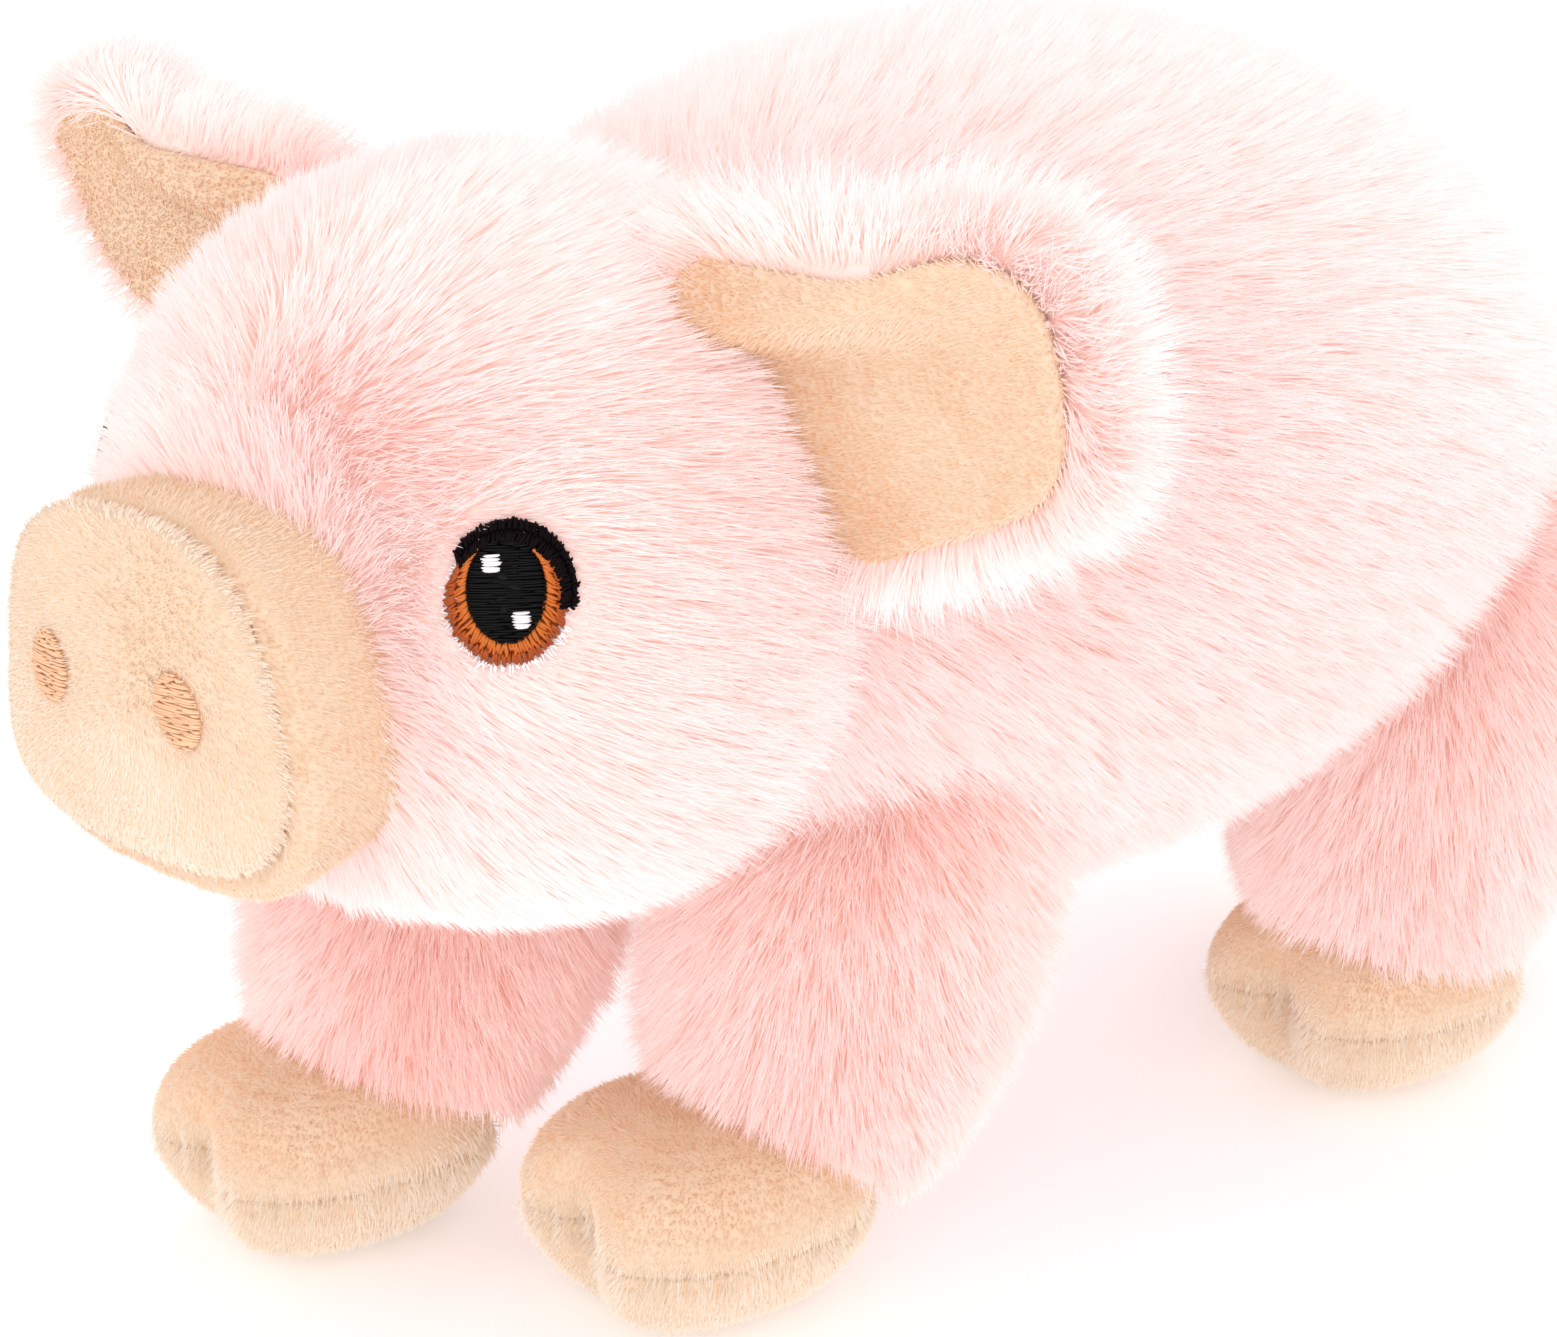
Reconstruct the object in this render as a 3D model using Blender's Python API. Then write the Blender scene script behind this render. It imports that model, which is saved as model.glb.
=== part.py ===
"""A standing plush pig: fur covers over soft fillings, a snout, four cloven hooves and two ears that flap.

The pig looks along -Y with its left side at +X, and it stands on the plane Z = 0. Sizes are in metres.
Each fur cover is a shell as thick as its backing and the dense lower part of its pile.
"""

import math
from typing import NamedTuple

import bmesh
import bpy
import numpy as np
from mathutils import Matrix, Vector
from mathutils.bvhtree import BVHTree

# Fits
CLEARANCE = 0.0003
FILLING_CLEARANCE = 0.0006
FLAP_CLEARANCE = 0.0007
COVER_WALL = 0.0060
LEG_WALL = 0.0050
HOOF_WALL = 0.0025
SNOUT_WALL = 0.0028
CUT_OVERRUN = 0.0060

# Body
BODY_LENGTH = 0.1880
BODY_WIDTH = 0.1180
BODY_HEIGHT = 0.1185
BELLY_HEIGHT = 0.0445
NECK_BORE = 0.0300

# Head, in a frame that turns about the neck
NECK_AHEAD = 0.0546
HEAD_TURN = 13.5
HEAD_LENGTH = 0.0900
HEAD_WIDTH = 0.0950
HEAD_HEIGHT = 0.0975
HEAD_REACH = 0.0355
HEAD_MIDDLE_HEIGHT = 0.1070

# Snout
SNOUT_WIDTH = 0.0500
SNOUT_HEIGHT = 0.0470
SNOUT_PAST_HEAD = 0.0130
SNOUT_MIDDLE_HEIGHT = 0.0980
SNOUT_DEPTH = 0.0320
SNOUT_FACE_WIDTH = 0.0485
SNOUT_FACE_HEIGHT = 0.0430
SNOUT_FACE_THICKNESS = 0.0030
SNOUT_FACE_DOME = 0.0022
SNOUT_ROUNDING = 0.0090
SNOUT_TILT = 4.0
NOSTRIL_SPACING = 0.0242
NOSTRIL_WIDTH = 0.0075
NOSTRIL_HEIGHT = 0.0094
NOSTRIL_RISE = 0.0010
SNOUT_LIP = 0.0025

# Legs and hooves
FRONT_HOOVES_AHEAD = 0.0832
FRONT_HOOF_STRIDE = 0.0325
FRONT_ANKLES_AHEAD = 0.0690
FRONT_ANKLE_STRIDE = 0.0380
FRONT_HIPS_AHEAD = 0.0505
FRONT_HIP_STRIDE = 0.0350
REAR_HOOVES_BEHIND = 0.0780
REAR_HOOF_STRIDE = 0.0400
REAR_ANKLES_BEHIND = 0.0792
REAR_ANKLE_STRIDE = 0.0355
REAR_HIPS_BEHIND = 0.0705
REAR_HIP_STRIDE = 0.0080
FRONT_TRACK = 0.0470
REAR_TRACK = 0.0410
FRONT_HIP_TRACK = 0.0470
REAR_HIP_TRACK = 0.0580
THIGH_WIDTH = 0.0520
LEG_IN_BODY = 0.0270
CUFF_HEIGHT = 0.0090
HOOF_LENGTH = 0.0475
HOOF_WIDTH = 0.0430
HOOF_HEIGHT = 0.0290
HOOF_FLAT = 0.0005
HOOF_SEAM_HEIGHT = 0.0115
CLEFT_DEPTH = 0.0080
CLEFT_RISE = 0.0095

# Ears
EAR_LENGTH = 0.0540
EAR_WIDTH = 0.0500
EAR_CORNER = 0.0130
EAR_BACK_THICKNESS = 0.0042
EAR_LINING_THICKNESS = 0.0018
EAR_RIM = 0.0040
EAR_CUP = 0.0070
EAR_HINGE_PROUD = 0.0010

# Embroidered eyes, set out from the middle of the iris
THREAD_THICKNESS = 0.0010
IRIS_WIDTH = 0.0138
IRIS_HEIGHT = 0.0150
PUPIL_WIDTH = 0.0091
PUPIL_HEIGHT = 0.0128
PUPIL_RISE = 0.0016
LID_WIDTH = 0.0026
WHITE_WIDTH = 0.0013
GLINT_WIDTH = 0.0022
GLINT_THICKNESS = 0.0005

# Tail, a curl of stuffed tube
TAIL_THICKNESS = 0.0075
TAIL_LOOP = 0.0085
TAIL_REACH = 0.0210
TAIL_HEIGHT = 0.1050

# Facet counts, and the angle over which an edge looks like a crease
CREASE_ANGLE = 50
BODY_RINGS = 12
BODY_SIDES = 24
HEAD_RINGS = 12
HEAD_SIDES = 24
LEG_RINGS = 9
LEG_SIDES = 16
HOOF_RINGS = 8
HOOF_SIDES = 20
SNOUT_RINGS = 8
SNOUT_SIDES = 20
FILLING_SIDES = 16
FILLING_RINGS = 8
EAR_POINTS = 24
CORNER_POINTS = 6
THREAD_POINTS = 16
TAIL_SIDES = 8
TAIL_STEPS = 18

# Shares along a form: place, width, height, rise of its middle as a share of the height
BODY_SHARES = (
    (0.0, 0.90, 0.92, -0.050),
    (0.25, 0.97, 0.97, -0.005),
    (0.5, 1.0, 1.0, 0.0),
    (0.7, 0.97, 0.925, 0.012),
    (1.0, 0.84, 0.79, -0.008),
)
HEAD_SHARES = (
    (0.0, 0.86, 0.88, -0.01),
    (0.3, 1.0, 0.98, 0.0),
    (0.6, 1.02, 1.0, 0.0),
    (1.0, 0.95, 0.96, 0.0),
)
LEG_SHARES = (
    (0.0, 0.96, 0.96, 0.0),
    (0.3, 0.96, 0.96, 0.0),
    (0.65, 1.0, 1.0, 0.0),
    (1.0, 0.74, 0.74, 0.0),
)
SNOUT_SHARES = (
    (0.0, 0.84, 0.84, 0.0),
    (0.4, 0.95, 0.95, 0.0),
    (0.8, 1.01, 1.01, 0.0),
    (1.0, 1.0, 1.0, 0.0),
)

# Powers of the rounded outlines: 2 is an ellipse, and more is squarer
BODY_END_POWER = 2.3
HEAD_END_POWER = 2.25
LEG_END_POWER = 3.2
SNOUT_END_POWER = 3.6
ROUND_POWER = 2.15
SNOUT_ROUND_POWER = 2.8
HOOF_END_POWER = 2.6
HOOF_ROUND_POWER = 2.4
POINTED_POWER = 1.8
ELLIPSE_POWER = 2

# Shares of the smaller forms
CLEFT_TURN_SHARE = 0.052
JOWL_SHARE = 0.12
FACE_RING_SHARES = (0.3, 0.6, 0.85, 0.96)
EAR_RING_SHARES = (0.25, 0.5, 0.75, 0.93)
THREAD_RING_SHARES = (0.5, 0.92)
EAR_ROOT_SHARE = 0.30
EAR_FULL_SHARE = 0.40
GLINT_SHARES = {"upper": (-0.12, 0.22), "lower": (0.12, -0.24)}
TAIL_TURNS = 1.25
TAIL_TAPER_SHARE = 0.45
TAIL_TIGHTEN_SHARE = 0.35

# Arcs of the eye in degrees: 0 is away from the snout, 90 is up
IRIS_ARC = (-225, 45)
LID_INNER_ARC = (-12, 142)
LID_OUTER_ARC = (-18, 138)
WHITE_INNER_ARC = (-120, -25)
WHITE_OUTER_ARC = (-116, -29)

# Directions in the head's frame, for the left side
EAR_SEAT_SHARES = (0.86, 0.19, 0.47)
EAR_OUT_SHARES = (0.955, -0.04, 0.295)
EAR_UP_SHARES = (-0.33, -0.29, 0.90)
EAR_CORNER_SHARES = ((-0.20, 0.50), (1.0, 0.25), (0.80, -0.36), (-0.14, -0.52))
EYE_SEAT_SHARES = (0.772, -0.626, 0.131)

FUR = ("pink fur", (0.96, 0.80, 0.76), 0.95)
MINKY = ("tan minky", (0.90, 0.74, 0.56), 0.90)
FILLING = ("white filling", (0.93, 0.93, 0.92), 1.0)
NOSTRIL_THREAD = ("rust thread", (0.72, 0.42, 0.22), 0.55)
ORANGE_THREAD = ("orange thread", (0.62, 0.16, 0.03), 0.5)
BLACK_THREAD = ("black thread", (0.012, 0.012, 0.014), 0.5)
BROWN_THREAD = ("dark brown thread", (0.022, 0.010, 0.012), 0.5)
WHITE_THREAD = ("white thread", (0.88, 0.87, 0.88), 0.5)


class Form(NamedTuple):
    """A stuffed form from start to end, swelling by its shares and rounded at both ends."""

    start: Vector
    end: Vector
    across: Vector
    upward: Vector
    width: float
    height: float
    shares: tuple
    end_power: float
    round_power: float
    rings: int
    sides: int


def clear_scene():
    for old in list(bpy.data.objects):
        bpy.data.objects.remove(old)


def material(finish):
    name, colour, roughness = finish
    made = bpy.data.materials.get(name)
    if made:
        return made
    made = bpy.data.materials.new(name)
    made.use_nodes = True
    made.diffuse_color = (*colour, 1)
    shader = made.node_tree.nodes["Principled BSDF"]
    shader.inputs["Base Color"].default_value = (*colour, 1)
    shader.inputs["Roughness"].default_value = roughness
    shader.inputs["Metallic"].default_value = 0
    return made


def add_object(name, points, faces, finish=None):
    """An object in the stand's frame. One with no finish is a hidden guide."""
    mesh = bpy.data.meshes.new(name)
    mesh.from_pydata([tuple(p) for p in points], [], faces)
    shape = bmesh.new()
    shape.from_mesh(mesh)
    bmesh.ops.recalc_face_normals(shape, faces=shape.faces)
    shape.to_mesh(mesh)
    shape.free()
    obj = bpy.data.objects.new(name, mesh)
    bpy.context.scene.collection.objects.link(obj)
    obj.parent = STAND
    if finish is None:
        obj.hide_render = True
        obj.display_type = "WIRE"
        return obj
    mesh.materials.append(material(finish))
    mesh.shade_smooth()
    mesh.set_sharp_from_angle(angle=math.radians(CREASE_ANGLE))
    return obj


def boolean(obj, other, operation="DIFFERENCE"):
    step = obj.modifiers.new(f"{operation.lower()} {other.name}", "BOOLEAN")
    step.object = other
    step.operation = operation
    step.solver = "EXACT"


# Forms


def superellipse(share, power):
    return max(0, 1 - abs(share) ** power) ** (1 / power)


def shares_at(table, place):
    """The table's shares at a place from 0 to 1, on a smooth curve through its rows."""
    rows = np.array(table)
    at = int(np.clip(np.searchsorted(rows[:, 0], place) - 1, 0, len(rows) - 2))
    slopes = np.gradient(rows[:, 1:], rows[:, 0], axis=0)
    step = rows[at + 1, 0] - rows[at, 0]
    s = (place - rows[at, 0]) / step
    low, high = rows[at, 1:], rows[at + 1, 1:]
    return (
        (2 * s**3 - 3 * s**2 + 1) * low
        + (s**3 - 2 * s**2 + s) * step * slopes[at]
        + (3 * s**2 - 2 * s**3) * high
        + (s**3 - s**2) * step * slopes[at + 1]
    )


def ring_angle(step, sides):
    return 2 * math.pi * (step + 0.5) / sides


def signed_power(value, power):
    return math.copysign(abs(value) ** power, value)


def form_points(form, grow):
    """The form's points, offset outwards by grow: a pole, rings of points, a pole."""
    axis = form.end - form.start
    middle = (form.start + form.end) / 2
    half = axis.normalized() * (axis.length / 2 + grow)
    points = [middle - half + form.upward * form.height * shares_at(form.shares, 0)[2]]
    for ring in range(1, form.rings):
        along = -math.cos(math.pi * ring / form.rings)
        width, height, rise = shares_at(form.shares, (along + 1) / 2)
        round_share = superellipse(along, form.end_power)
        across = form.across * (form.width / 2 * width + grow) * round_share
        upward = form.upward * (form.height / 2 * height + grow) * round_share
        centre = middle + half * along + form.upward * form.height * rise
        for step in range(form.sides):
            angle = ring_angle(step, form.sides)
            u = signed_power(math.cos(angle), 2 / form.round_power)
            v = signed_power(math.sin(angle), 2 / form.round_power)
            points.append(centre + across * u + upward * v)
    points.append(middle + half + form.upward * form.height * shares_at(form.shares, 1)[2])
    return points


def ring_faces(rings, sides):
    """Faces over a pole, rings of points and a pole."""
    faces = []
    last = 1 + rings * sides
    for step in range(sides):
        after = (step + 1) % sides
        faces.append((0, 1 + step, 1 + after))
        faces.append((last, last - sides + after, last - sides + step))
    for ring in range(rings - 1):
        low = 1 + ring * sides
        for step in range(sides):
            after = (step + 1) % sides
            faces.append((low + step, low + sides + step, low + sides + after, low + after))
    return faces


def form_object(name, form, grow=0.0, finish=None):
    return add_object(name, form_points(form, grow), ring_faces(form.rings - 1, form.sides), finish)


def coarse(form):
    return form._replace(rings=FILLING_RINGS, sides=FILLING_SIDES)


def head_matrix():
    """From the head's frame, which looks along -Y, to the stand's frame."""
    return Matrix.Translation((0, -NECK_AHEAD, 0)) @ Matrix.Rotation(math.radians(HEAD_TURN), 4, "Z")


def in_head(x, y, z):
    return head_matrix() @ Vector((x, y, z))


def head_direction(shares, side=1):
    return (head_matrix().to_3x3() @ Vector((shares[0] * side, shares[1], shares[2]))).normalized()


def body_form():
    middle = BELLY_HEIGHT + BODY_HEIGHT / 2
    return Form(
        Vector((0, -BODY_LENGTH / 2, middle)),
        Vector((0, BODY_LENGTH / 2, middle)),
        Vector((1, 0, 0)),
        Vector((0, 0, 1)),
        BODY_WIDTH,
        BODY_HEIGHT,
        BODY_SHARES,
        BODY_END_POWER,
        ROUND_POWER,
        BODY_RINGS,
        BODY_SIDES,
    )


def head_form():
    return Form(
        in_head(0, HEAD_LENGTH / 2 - HEAD_REACH, HEAD_MIDDLE_HEIGHT),
        in_head(0, -HEAD_LENGTH / 2 - HEAD_REACH, HEAD_MIDDLE_HEIGHT),
        head_direction((1, 0, 0)),
        Vector((0, 0, 1)),
        HEAD_WIDTH,
        HEAD_HEIGHT,
        HEAD_SHARES,
        HEAD_END_POWER,
        ROUND_POWER,
        HEAD_RINGS,
        HEAD_SIDES,
    )


def snout_axes():
    """The snout's forward and upward directions: it tilts down a little."""
    tilt = math.radians(SNOUT_TILT)
    forward = head_direction((0, -math.cos(tilt), -math.sin(tilt)))
    upward = head_direction((0, -math.sin(tilt), math.cos(tilt)))
    return forward, upward


def snout_front():
    """The middle of the snout band's front edge."""
    forward, _ = snout_axes()
    reach = HEAD_REACH + HEAD_LENGTH / 2 + SNOUT_PAST_HEAD
    tip = in_head(0, -reach, SNOUT_MIDDLE_HEIGHT)
    return tip - forward * (SNOUT_FACE_THICKNESS + SNOUT_FACE_DOME + CLEARANCE)


def snout_form():
    forward, upward = snout_axes()
    return Form(
        snout_front() - forward * SNOUT_DEPTH,
        snout_front() + forward * SNOUT_ROUNDING,
        head_direction((1, 0, 0)),
        upward,
        SNOUT_WIDTH,
        SNOUT_HEIGHT,
        SNOUT_SHARES,
        SNOUT_END_POWER,
        SNOUT_ROUND_POWER,
        SNOUT_RINGS,
        SNOUT_SIDES,
    )


# Body and head


def neck_bore():
    """A round hole along the neck, through the walls of both covers."""
    inside_body = Vector((0, -NECK_AHEAD + BODY_LENGTH / 4, BELLY_HEIGHT + BODY_HEIGHT / 2))
    inside_head = in_head(0, -HEAD_REACH, HEAD_MIDDLE_HEIGHT)
    run = inside_head - inside_body
    shape = bmesh.new()
    turn = run.to_track_quat("Z", "Y").to_matrix().to_4x4()
    place = Matrix.Translation((inside_body + inside_head) / 2) @ turn
    bmesh.ops.create_cone(
        shape, cap_ends=True, segments=FILLING_SIDES, radius1=NECK_BORE / 2, radius2=NECK_BORE / 2,
        depth=run.length, matrix=place,
    )
    points = [v.co.copy() for v in shape.verts]
    faces = [[v.index for v in f.verts] for f in shape.faces]
    shape.free()
    return add_object("neck_bore", points, faces)


def build_body(bore):
    body = form_object("body_cover", body_form(), 0, FUR)
    boolean(body, form_object("body_cavity", coarse(body_form()), -COVER_WALL))
    boolean(body, bore)
    form_object("body_filling", coarse(body_form()), -COVER_WALL - FILLING_CLEARANCE, FILLING)


def build_head(bore, body_room):
    head = form_object("head_cover", head_form(), 0, FUR)
    boolean(head, form_object("head_cavity", coarse(head_form()), -COVER_WALL))
    boolean(head, body_room)
    boolean(head, bore)
    filling = form_object("head_filling", coarse(head_form()), -COVER_WALL - FILLING_CLEARANCE, FILLING)
    boolean(filling, body_room)


# Legs and hooves


class Leg(NamedTuple):
    name: str
    hip: Vector
    ankle: Vector
    hoof: Vector


def legs():
    """Four legs in a walking stance: the front right and the rear left step ahead."""
    made = []
    for end, track, hip_track, hooves, hoof_stride, ankles, ankle_stride, hips, hip_stride in (
        (
            "front", FRONT_TRACK, FRONT_HIP_TRACK, -FRONT_HOOVES_AHEAD, FRONT_HOOF_STRIDE,
            -FRONT_ANKLES_AHEAD, FRONT_ANKLE_STRIDE, -FRONT_HIPS_AHEAD, FRONT_HIP_STRIDE,
        ),
        (
            "rear", REAR_TRACK, REAR_HIP_TRACK, REAR_HOOVES_BEHIND, -REAR_HOOF_STRIDE,
            REAR_ANKLES_BEHIND, -REAR_ANKLE_STRIDE, REAR_HIPS_BEHIND, -REAR_HIP_STRIDE,
        ),
    ):
        for side_name, side in (("left", 1), ("right", -1)):
            hoof = Vector((side * track / 2, hooves + side * hoof_stride / 2, 0))
            ankle = Vector((side * track / 2, ankles + side * ankle_stride / 2, CUFF_HEIGHT))
            hip_height = BELLY_HEIGHT + 2 * LEG_IN_BODY
            hip = Vector((side * hip_track / 2, hips + side * hip_stride / 2, hip_height))
            made.append(Leg(f"{end}_{side_name}", hip, ankle, hoof))
    return made


def leg_form(leg):
    return Form(
        leg.ankle,
        leg.hip,
        Vector((1, 0, 0)),
        Vector((0, -1, 0)),
        THIGH_WIDTH,
        THIGH_WIDTH,
        LEG_SHARES,
        LEG_END_POWER,
        ROUND_POWER,
        LEG_RINGS,
        LEG_SIDES,
    )


def hoof_points(leg, grow, rings, sides):
    """A plump hoof whose outline is pinched at the front into two toes, most at the seam's height."""
    half_height = HOOF_HEIGHT / 2
    middle = leg.hoof + Vector((0, 0, half_height - HOOF_FLAT))
    points = [middle - Vector((0, 0, half_height + grow))]
    for ring in range(1, rings):
        along = -math.cos(math.pi * ring / rings)
        height = along * (half_height + grow)
        round_share = superellipse(along, HOOF_END_POWER)
        above_seam = (along + 1) * half_height - HOOF_SEAM_HEIGHT
        pinch = CLEFT_DEPTH * math.exp(-((above_seam / CLEFT_RISE) ** 2))
        for step in range(sides):
            angle = 2 * math.pi * step / sides
            turn = math.remainder(angle, 2 * math.pi)
            notch = pinch * math.exp(-((turn / (2 * math.pi * CLEFT_TURN_SHARE)) ** 2))
            across = signed_power(math.sin(angle), 2 / HOOF_ROUND_POWER) * (HOOF_WIDTH / 2 + grow)
            ahead = signed_power(math.cos(angle), 2 / HOOF_ROUND_POWER) * (HOOF_LENGTH / 2 + grow)
            points.append(middle + Vector((across * round_share, -ahead * round_share + notch, height)))
    points.append(middle + Vector((0, 0, half_height + grow)))
    return points


def halved(faces):
    """The faces as triangles, so that a cleft bends along the same lines in the hoof and in the room for it."""
    return [(face[0], face[at], face[at + 1]) for face in faces for at in range(1, len(face) - 1)]


def hoof_object(name, leg, grow=0.0, rings=HOOF_RINGS, sides=HOOF_SIDES, finish=None):
    points = hoof_points(leg, grow, rings, sides)
    return add_object(name, points, halved(ring_faces(rings - 1, sides)), finish)


def slab(name, leg, low, high):
    """A block wider than the hoof, between two heights."""
    reach = Vector((HOOF_WIDTH, HOOF_LENGTH, 0)) / 2 + Vector((CUT_OVERRUN, CUT_OVERRUN, 0))
    corners = [(x, y, z) for z in (low, high) for x, y in ((-1, -1), (1, -1), (1, 1), (-1, 1))]
    points = [leg.hoof + Vector((x * reach.x, y * reach.y, z)) for x, y, z in corners]
    faces = [(0, 3, 2, 1), (4, 5, 6, 7), (0, 1, 5, 4), (1, 2, 6, 5), (2, 3, 7, 6), (3, 0, 4, 7)]
    return add_object(name, points, faces)


def build_leg(leg, rooms):
    name = leg.name
    form = leg_form(leg)
    hoof_room = hoof_object(f"{name}_hoof_room", leg, CLEARANCE)
    leg_cavity = form_object(f"{name}_leg_cavity", coarse(form), -LEG_WALL)
    hoof_cavity = hoof_object(f"{name}_hoof_cavity", leg, -HOOF_WALL, FILLING_RINGS, FILLING_SIDES)

    cover = form_object(f"{name}_leg_cover", form, 0, FUR)
    boolean(cover, leg_cavity)
    boolean(cover, hoof_room)
    for room in rooms:
        boolean(cover, room)

    upper = hoof_object(f"{name}_hoof", leg, finish=MINKY)
    top = HOOF_HEIGHT + CUT_OVERRUN
    boolean(upper, slab(f"{name}_above_seam", leg, HOOF_SEAM_HEIGHT + CLEARANCE / 2, top), "INTERSECT")
    boolean(upper, hoof_cavity)
    boolean(upper, leg_cavity)

    sole = hoof_object(f"{name}_sole", leg, finish=MINKY)
    boolean(sole, slab(f"{name}_below_seam", leg, 0, HOOF_SEAM_HEIGHT - CLEARANCE / 2), "INTERSECT")
    boolean(sole, hoof_cavity)

    filling = form_object(f"{name}_leg_filling", coarse(form), -LEG_WALL - FILLING_CLEARANCE, FILLING)
    in_hoof = -HOOF_WALL - FILLING_CLEARANCE
    stuffing = hoof_object(f"{name}_hoof_stuffing", leg, in_hoof, FILLING_RINGS, FILLING_SIDES)
    boolean(filling, stuffing, "UNION")
    for room in rooms:
        boolean(filling, room)


# Snout


def flat_ellipse(width, height, power, count):
    return [
        (
            width / 2 * signed_power(math.cos(2 * math.pi * step / count), 2 / power),
            height / 2 * signed_power(math.sin(2 * math.pi * step / count), 2 / power),
        )
        for step in range(count)
    ]


def pad_object(name, outline, ring_shares, low, high, finish):
    """A closed pad inside an outline: low and high place a flat point on its two sides."""
    count = len(outline)
    centre = np.mean(outline, axis=0)
    flat = [centre] + [centre + (np.array(p) - centre) * share for share in ring_shares for p in outline]
    rim = [(np.array(low(*p)) + np.array(high(*p))) / 2 for p in outline]
    points = [low(*p) for p in flat] + [high(*p) for p in flat] + list(rim)
    rings = len(ring_shares)
    above = len(flat)
    edge = 2 * above
    faces = []
    for step in range(count):
        after = (step + 1) % count
        for start in (0, above):
            faces.append((start, start + 1 + step, start + 1 + after))
            for ring in range(rings - 1):
                inner = start + 1 + ring * count
                outer = inner + count
                faces.append((inner + step, outer + step, outer + after, inner + after))
            outer = start + 1 + (rings - 1) * count
            faces.append((outer + step, edge + step, edge + after, outer + after))
    return add_object(name, points, faces, finish)


def snout_face_point(x, y, depth):
    """A point of the domed snout face, at a depth over the band's front edge."""
    forward, upward = snout_axes()
    spread = (2 * x / SNOUT_FACE_WIDTH) ** 2 + (2 * y / SNOUT_FACE_HEIGHT) ** 2
    dome = SNOUT_FACE_DOME * (1 - spread)
    jowl = 1 - JOWL_SHARE * 2 * y / SNOUT_FACE_HEIGHT
    across = head_direction((1, 0, 0)) * x * jowl
    return snout_front() + across + upward * (y + SNOUT_LIP) + forward * (dome + depth)


def build_snout(head_room):
    forward, _ = snout_axes()
    face_low = SNOUT_FACE_DOME + CLEARANCE
    form = snout_form()
    face_room = face_block(face_low - CLEARANCE)
    overrun = forward * CUT_OVERRUN
    core = coarse(form)._replace(end=form.end + overrun, start=form.start - overrun)
    band = form_object("snout_band", form, 0, MINKY)
    boolean(band, head_room)
    boolean(band, form_object("snout_core_room", core, -SNOUT_WALL))
    boolean(band, face_room)
    filling = form_object("snout_filling", core, -SNOUT_WALL - FILLING_CLEARANCE, FILLING)
    boolean(filling, head_room)
    boolean(filling, face_room)
    outline = flat_ellipse(SNOUT_FACE_WIDTH, SNOUT_FACE_HEIGHT, SNOUT_ROUND_POWER, SNOUT_SIDES)
    pad_object(
        "snout_face",
        outline,
        FACE_RING_SHARES,
        lambda x, y: snout_face_point(x, y, CLEARANCE),
        lambda x, y: snout_face_point(x, y, CLEARANCE + SNOUT_FACE_THICKNESS),
        MINKY,
    )
    for side_name, side in (("left", 1), ("right", -1)):
        build_nostril(side_name, side)


def face_block(start):
    """The room ahead of the snout band, which the face panel takes, domed like it."""
    width = SNOUT_WIDTH + CUT_OVERRUN
    height = SNOUT_HEIGHT + CUT_OVERRUN
    outline = flat_ellipse(width, height, SNOUT_ROUND_POWER, SNOUT_SIDES)
    depth = start - SNOUT_FACE_DOME
    return pad_object(
        "snout_face_room",
        outline,
        FACE_RING_SHARES,
        lambda x, y: snout_face_point(x, y, depth),
        lambda x, y: snout_face_point(x, y, depth + SNOUT_DEPTH),
        None,
    )


def build_nostril(side_name, side):
    outline = [
        (side * NOSTRIL_SPACING / 2 + x, NOSTRIL_RISE + y)
        for x, y in flat_ellipse(NOSTRIL_WIDTH, NOSTRIL_HEIGHT, POINTED_POWER, THREAD_POINTS)
    ]
    on_face = CLEARANCE + SNOUT_FACE_THICKNESS + CLEARANCE
    pad_object(
        f"nostril_{side_name}",
        outline,
        THREAD_RING_SHARES,
        lambda x, y: snout_face_point(x, y, on_face),
        lambda x, y: snout_face_point(x, y, on_face + THREAD_THICKNESS),
        NOSTRIL_THREAD,
    )


# Eyes


class EyePlace:
    """The flat frame of an eye, laid on the head's surface."""

    def __init__(self, side, surface):
        middle = in_head(0, -HEAD_REACH, HEAD_MIDDLE_HEIGHT)
        outward = head_direction(EYE_SEAT_SHARES, side)
        self.surface = surface
        self.seat, normal, _, _ = surface.ray_cast(middle, outward)
        self.outward = (outward + normal * math.copysign(1, normal.dot(outward))).normalized()
        self.across = Vector((0, 0, 1)).cross(self.outward).normalized() * side
        self.upward = self.outward.cross(self.across) * side

    def at(self, x, y, height):
        flat = self.seat + self.across * x + self.upward * y
        start = flat + self.outward * HEAD_WIDTH / 4
        hit, _, _, _ = self.surface.ray_cast(start, -self.outward)
        return hit + self.outward * height


def strip_object(name, inner, outer, place, low, high, finish):
    """A curved strip of stitches between two rows of flat points, closed at both ends."""
    rows = []
    for height in (low, high):
        for line in (inner, outer):
            rows.append([place.at(x, y, height) for x, y in line])
    count = len(inner)
    points = [p for row in rows for p in row]
    inner_low, outer_low, inner_high, outer_high = (count * k for k in range(4))
    faces = []
    for step in range(count - 1):
        for a, b in (
            (inner_low, outer_low),
            (outer_low, outer_high),
            (outer_high, inner_high),
            (inner_high, inner_low),
        ):
            faces.append((a + step, b + step, b + step + 1, a + step + 1))
    for end in (0, count - 1):
        faces.append((inner_low + end, inner_high + end, outer_high + end, outer_low + end))
    return add_object(name, points, faces, finish)


def arc(width, height, centre, ends):
    """Points on an ellipse between two angles in degrees."""
    angles = np.radians(np.linspace(ends[0], ends[1], THREAD_POINTS))
    across = centre[0] + width / 2 * np.cos(angles)
    upward = centre[1] + height / 2 * np.sin(angles)
    return list(zip(across, upward))


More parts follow.
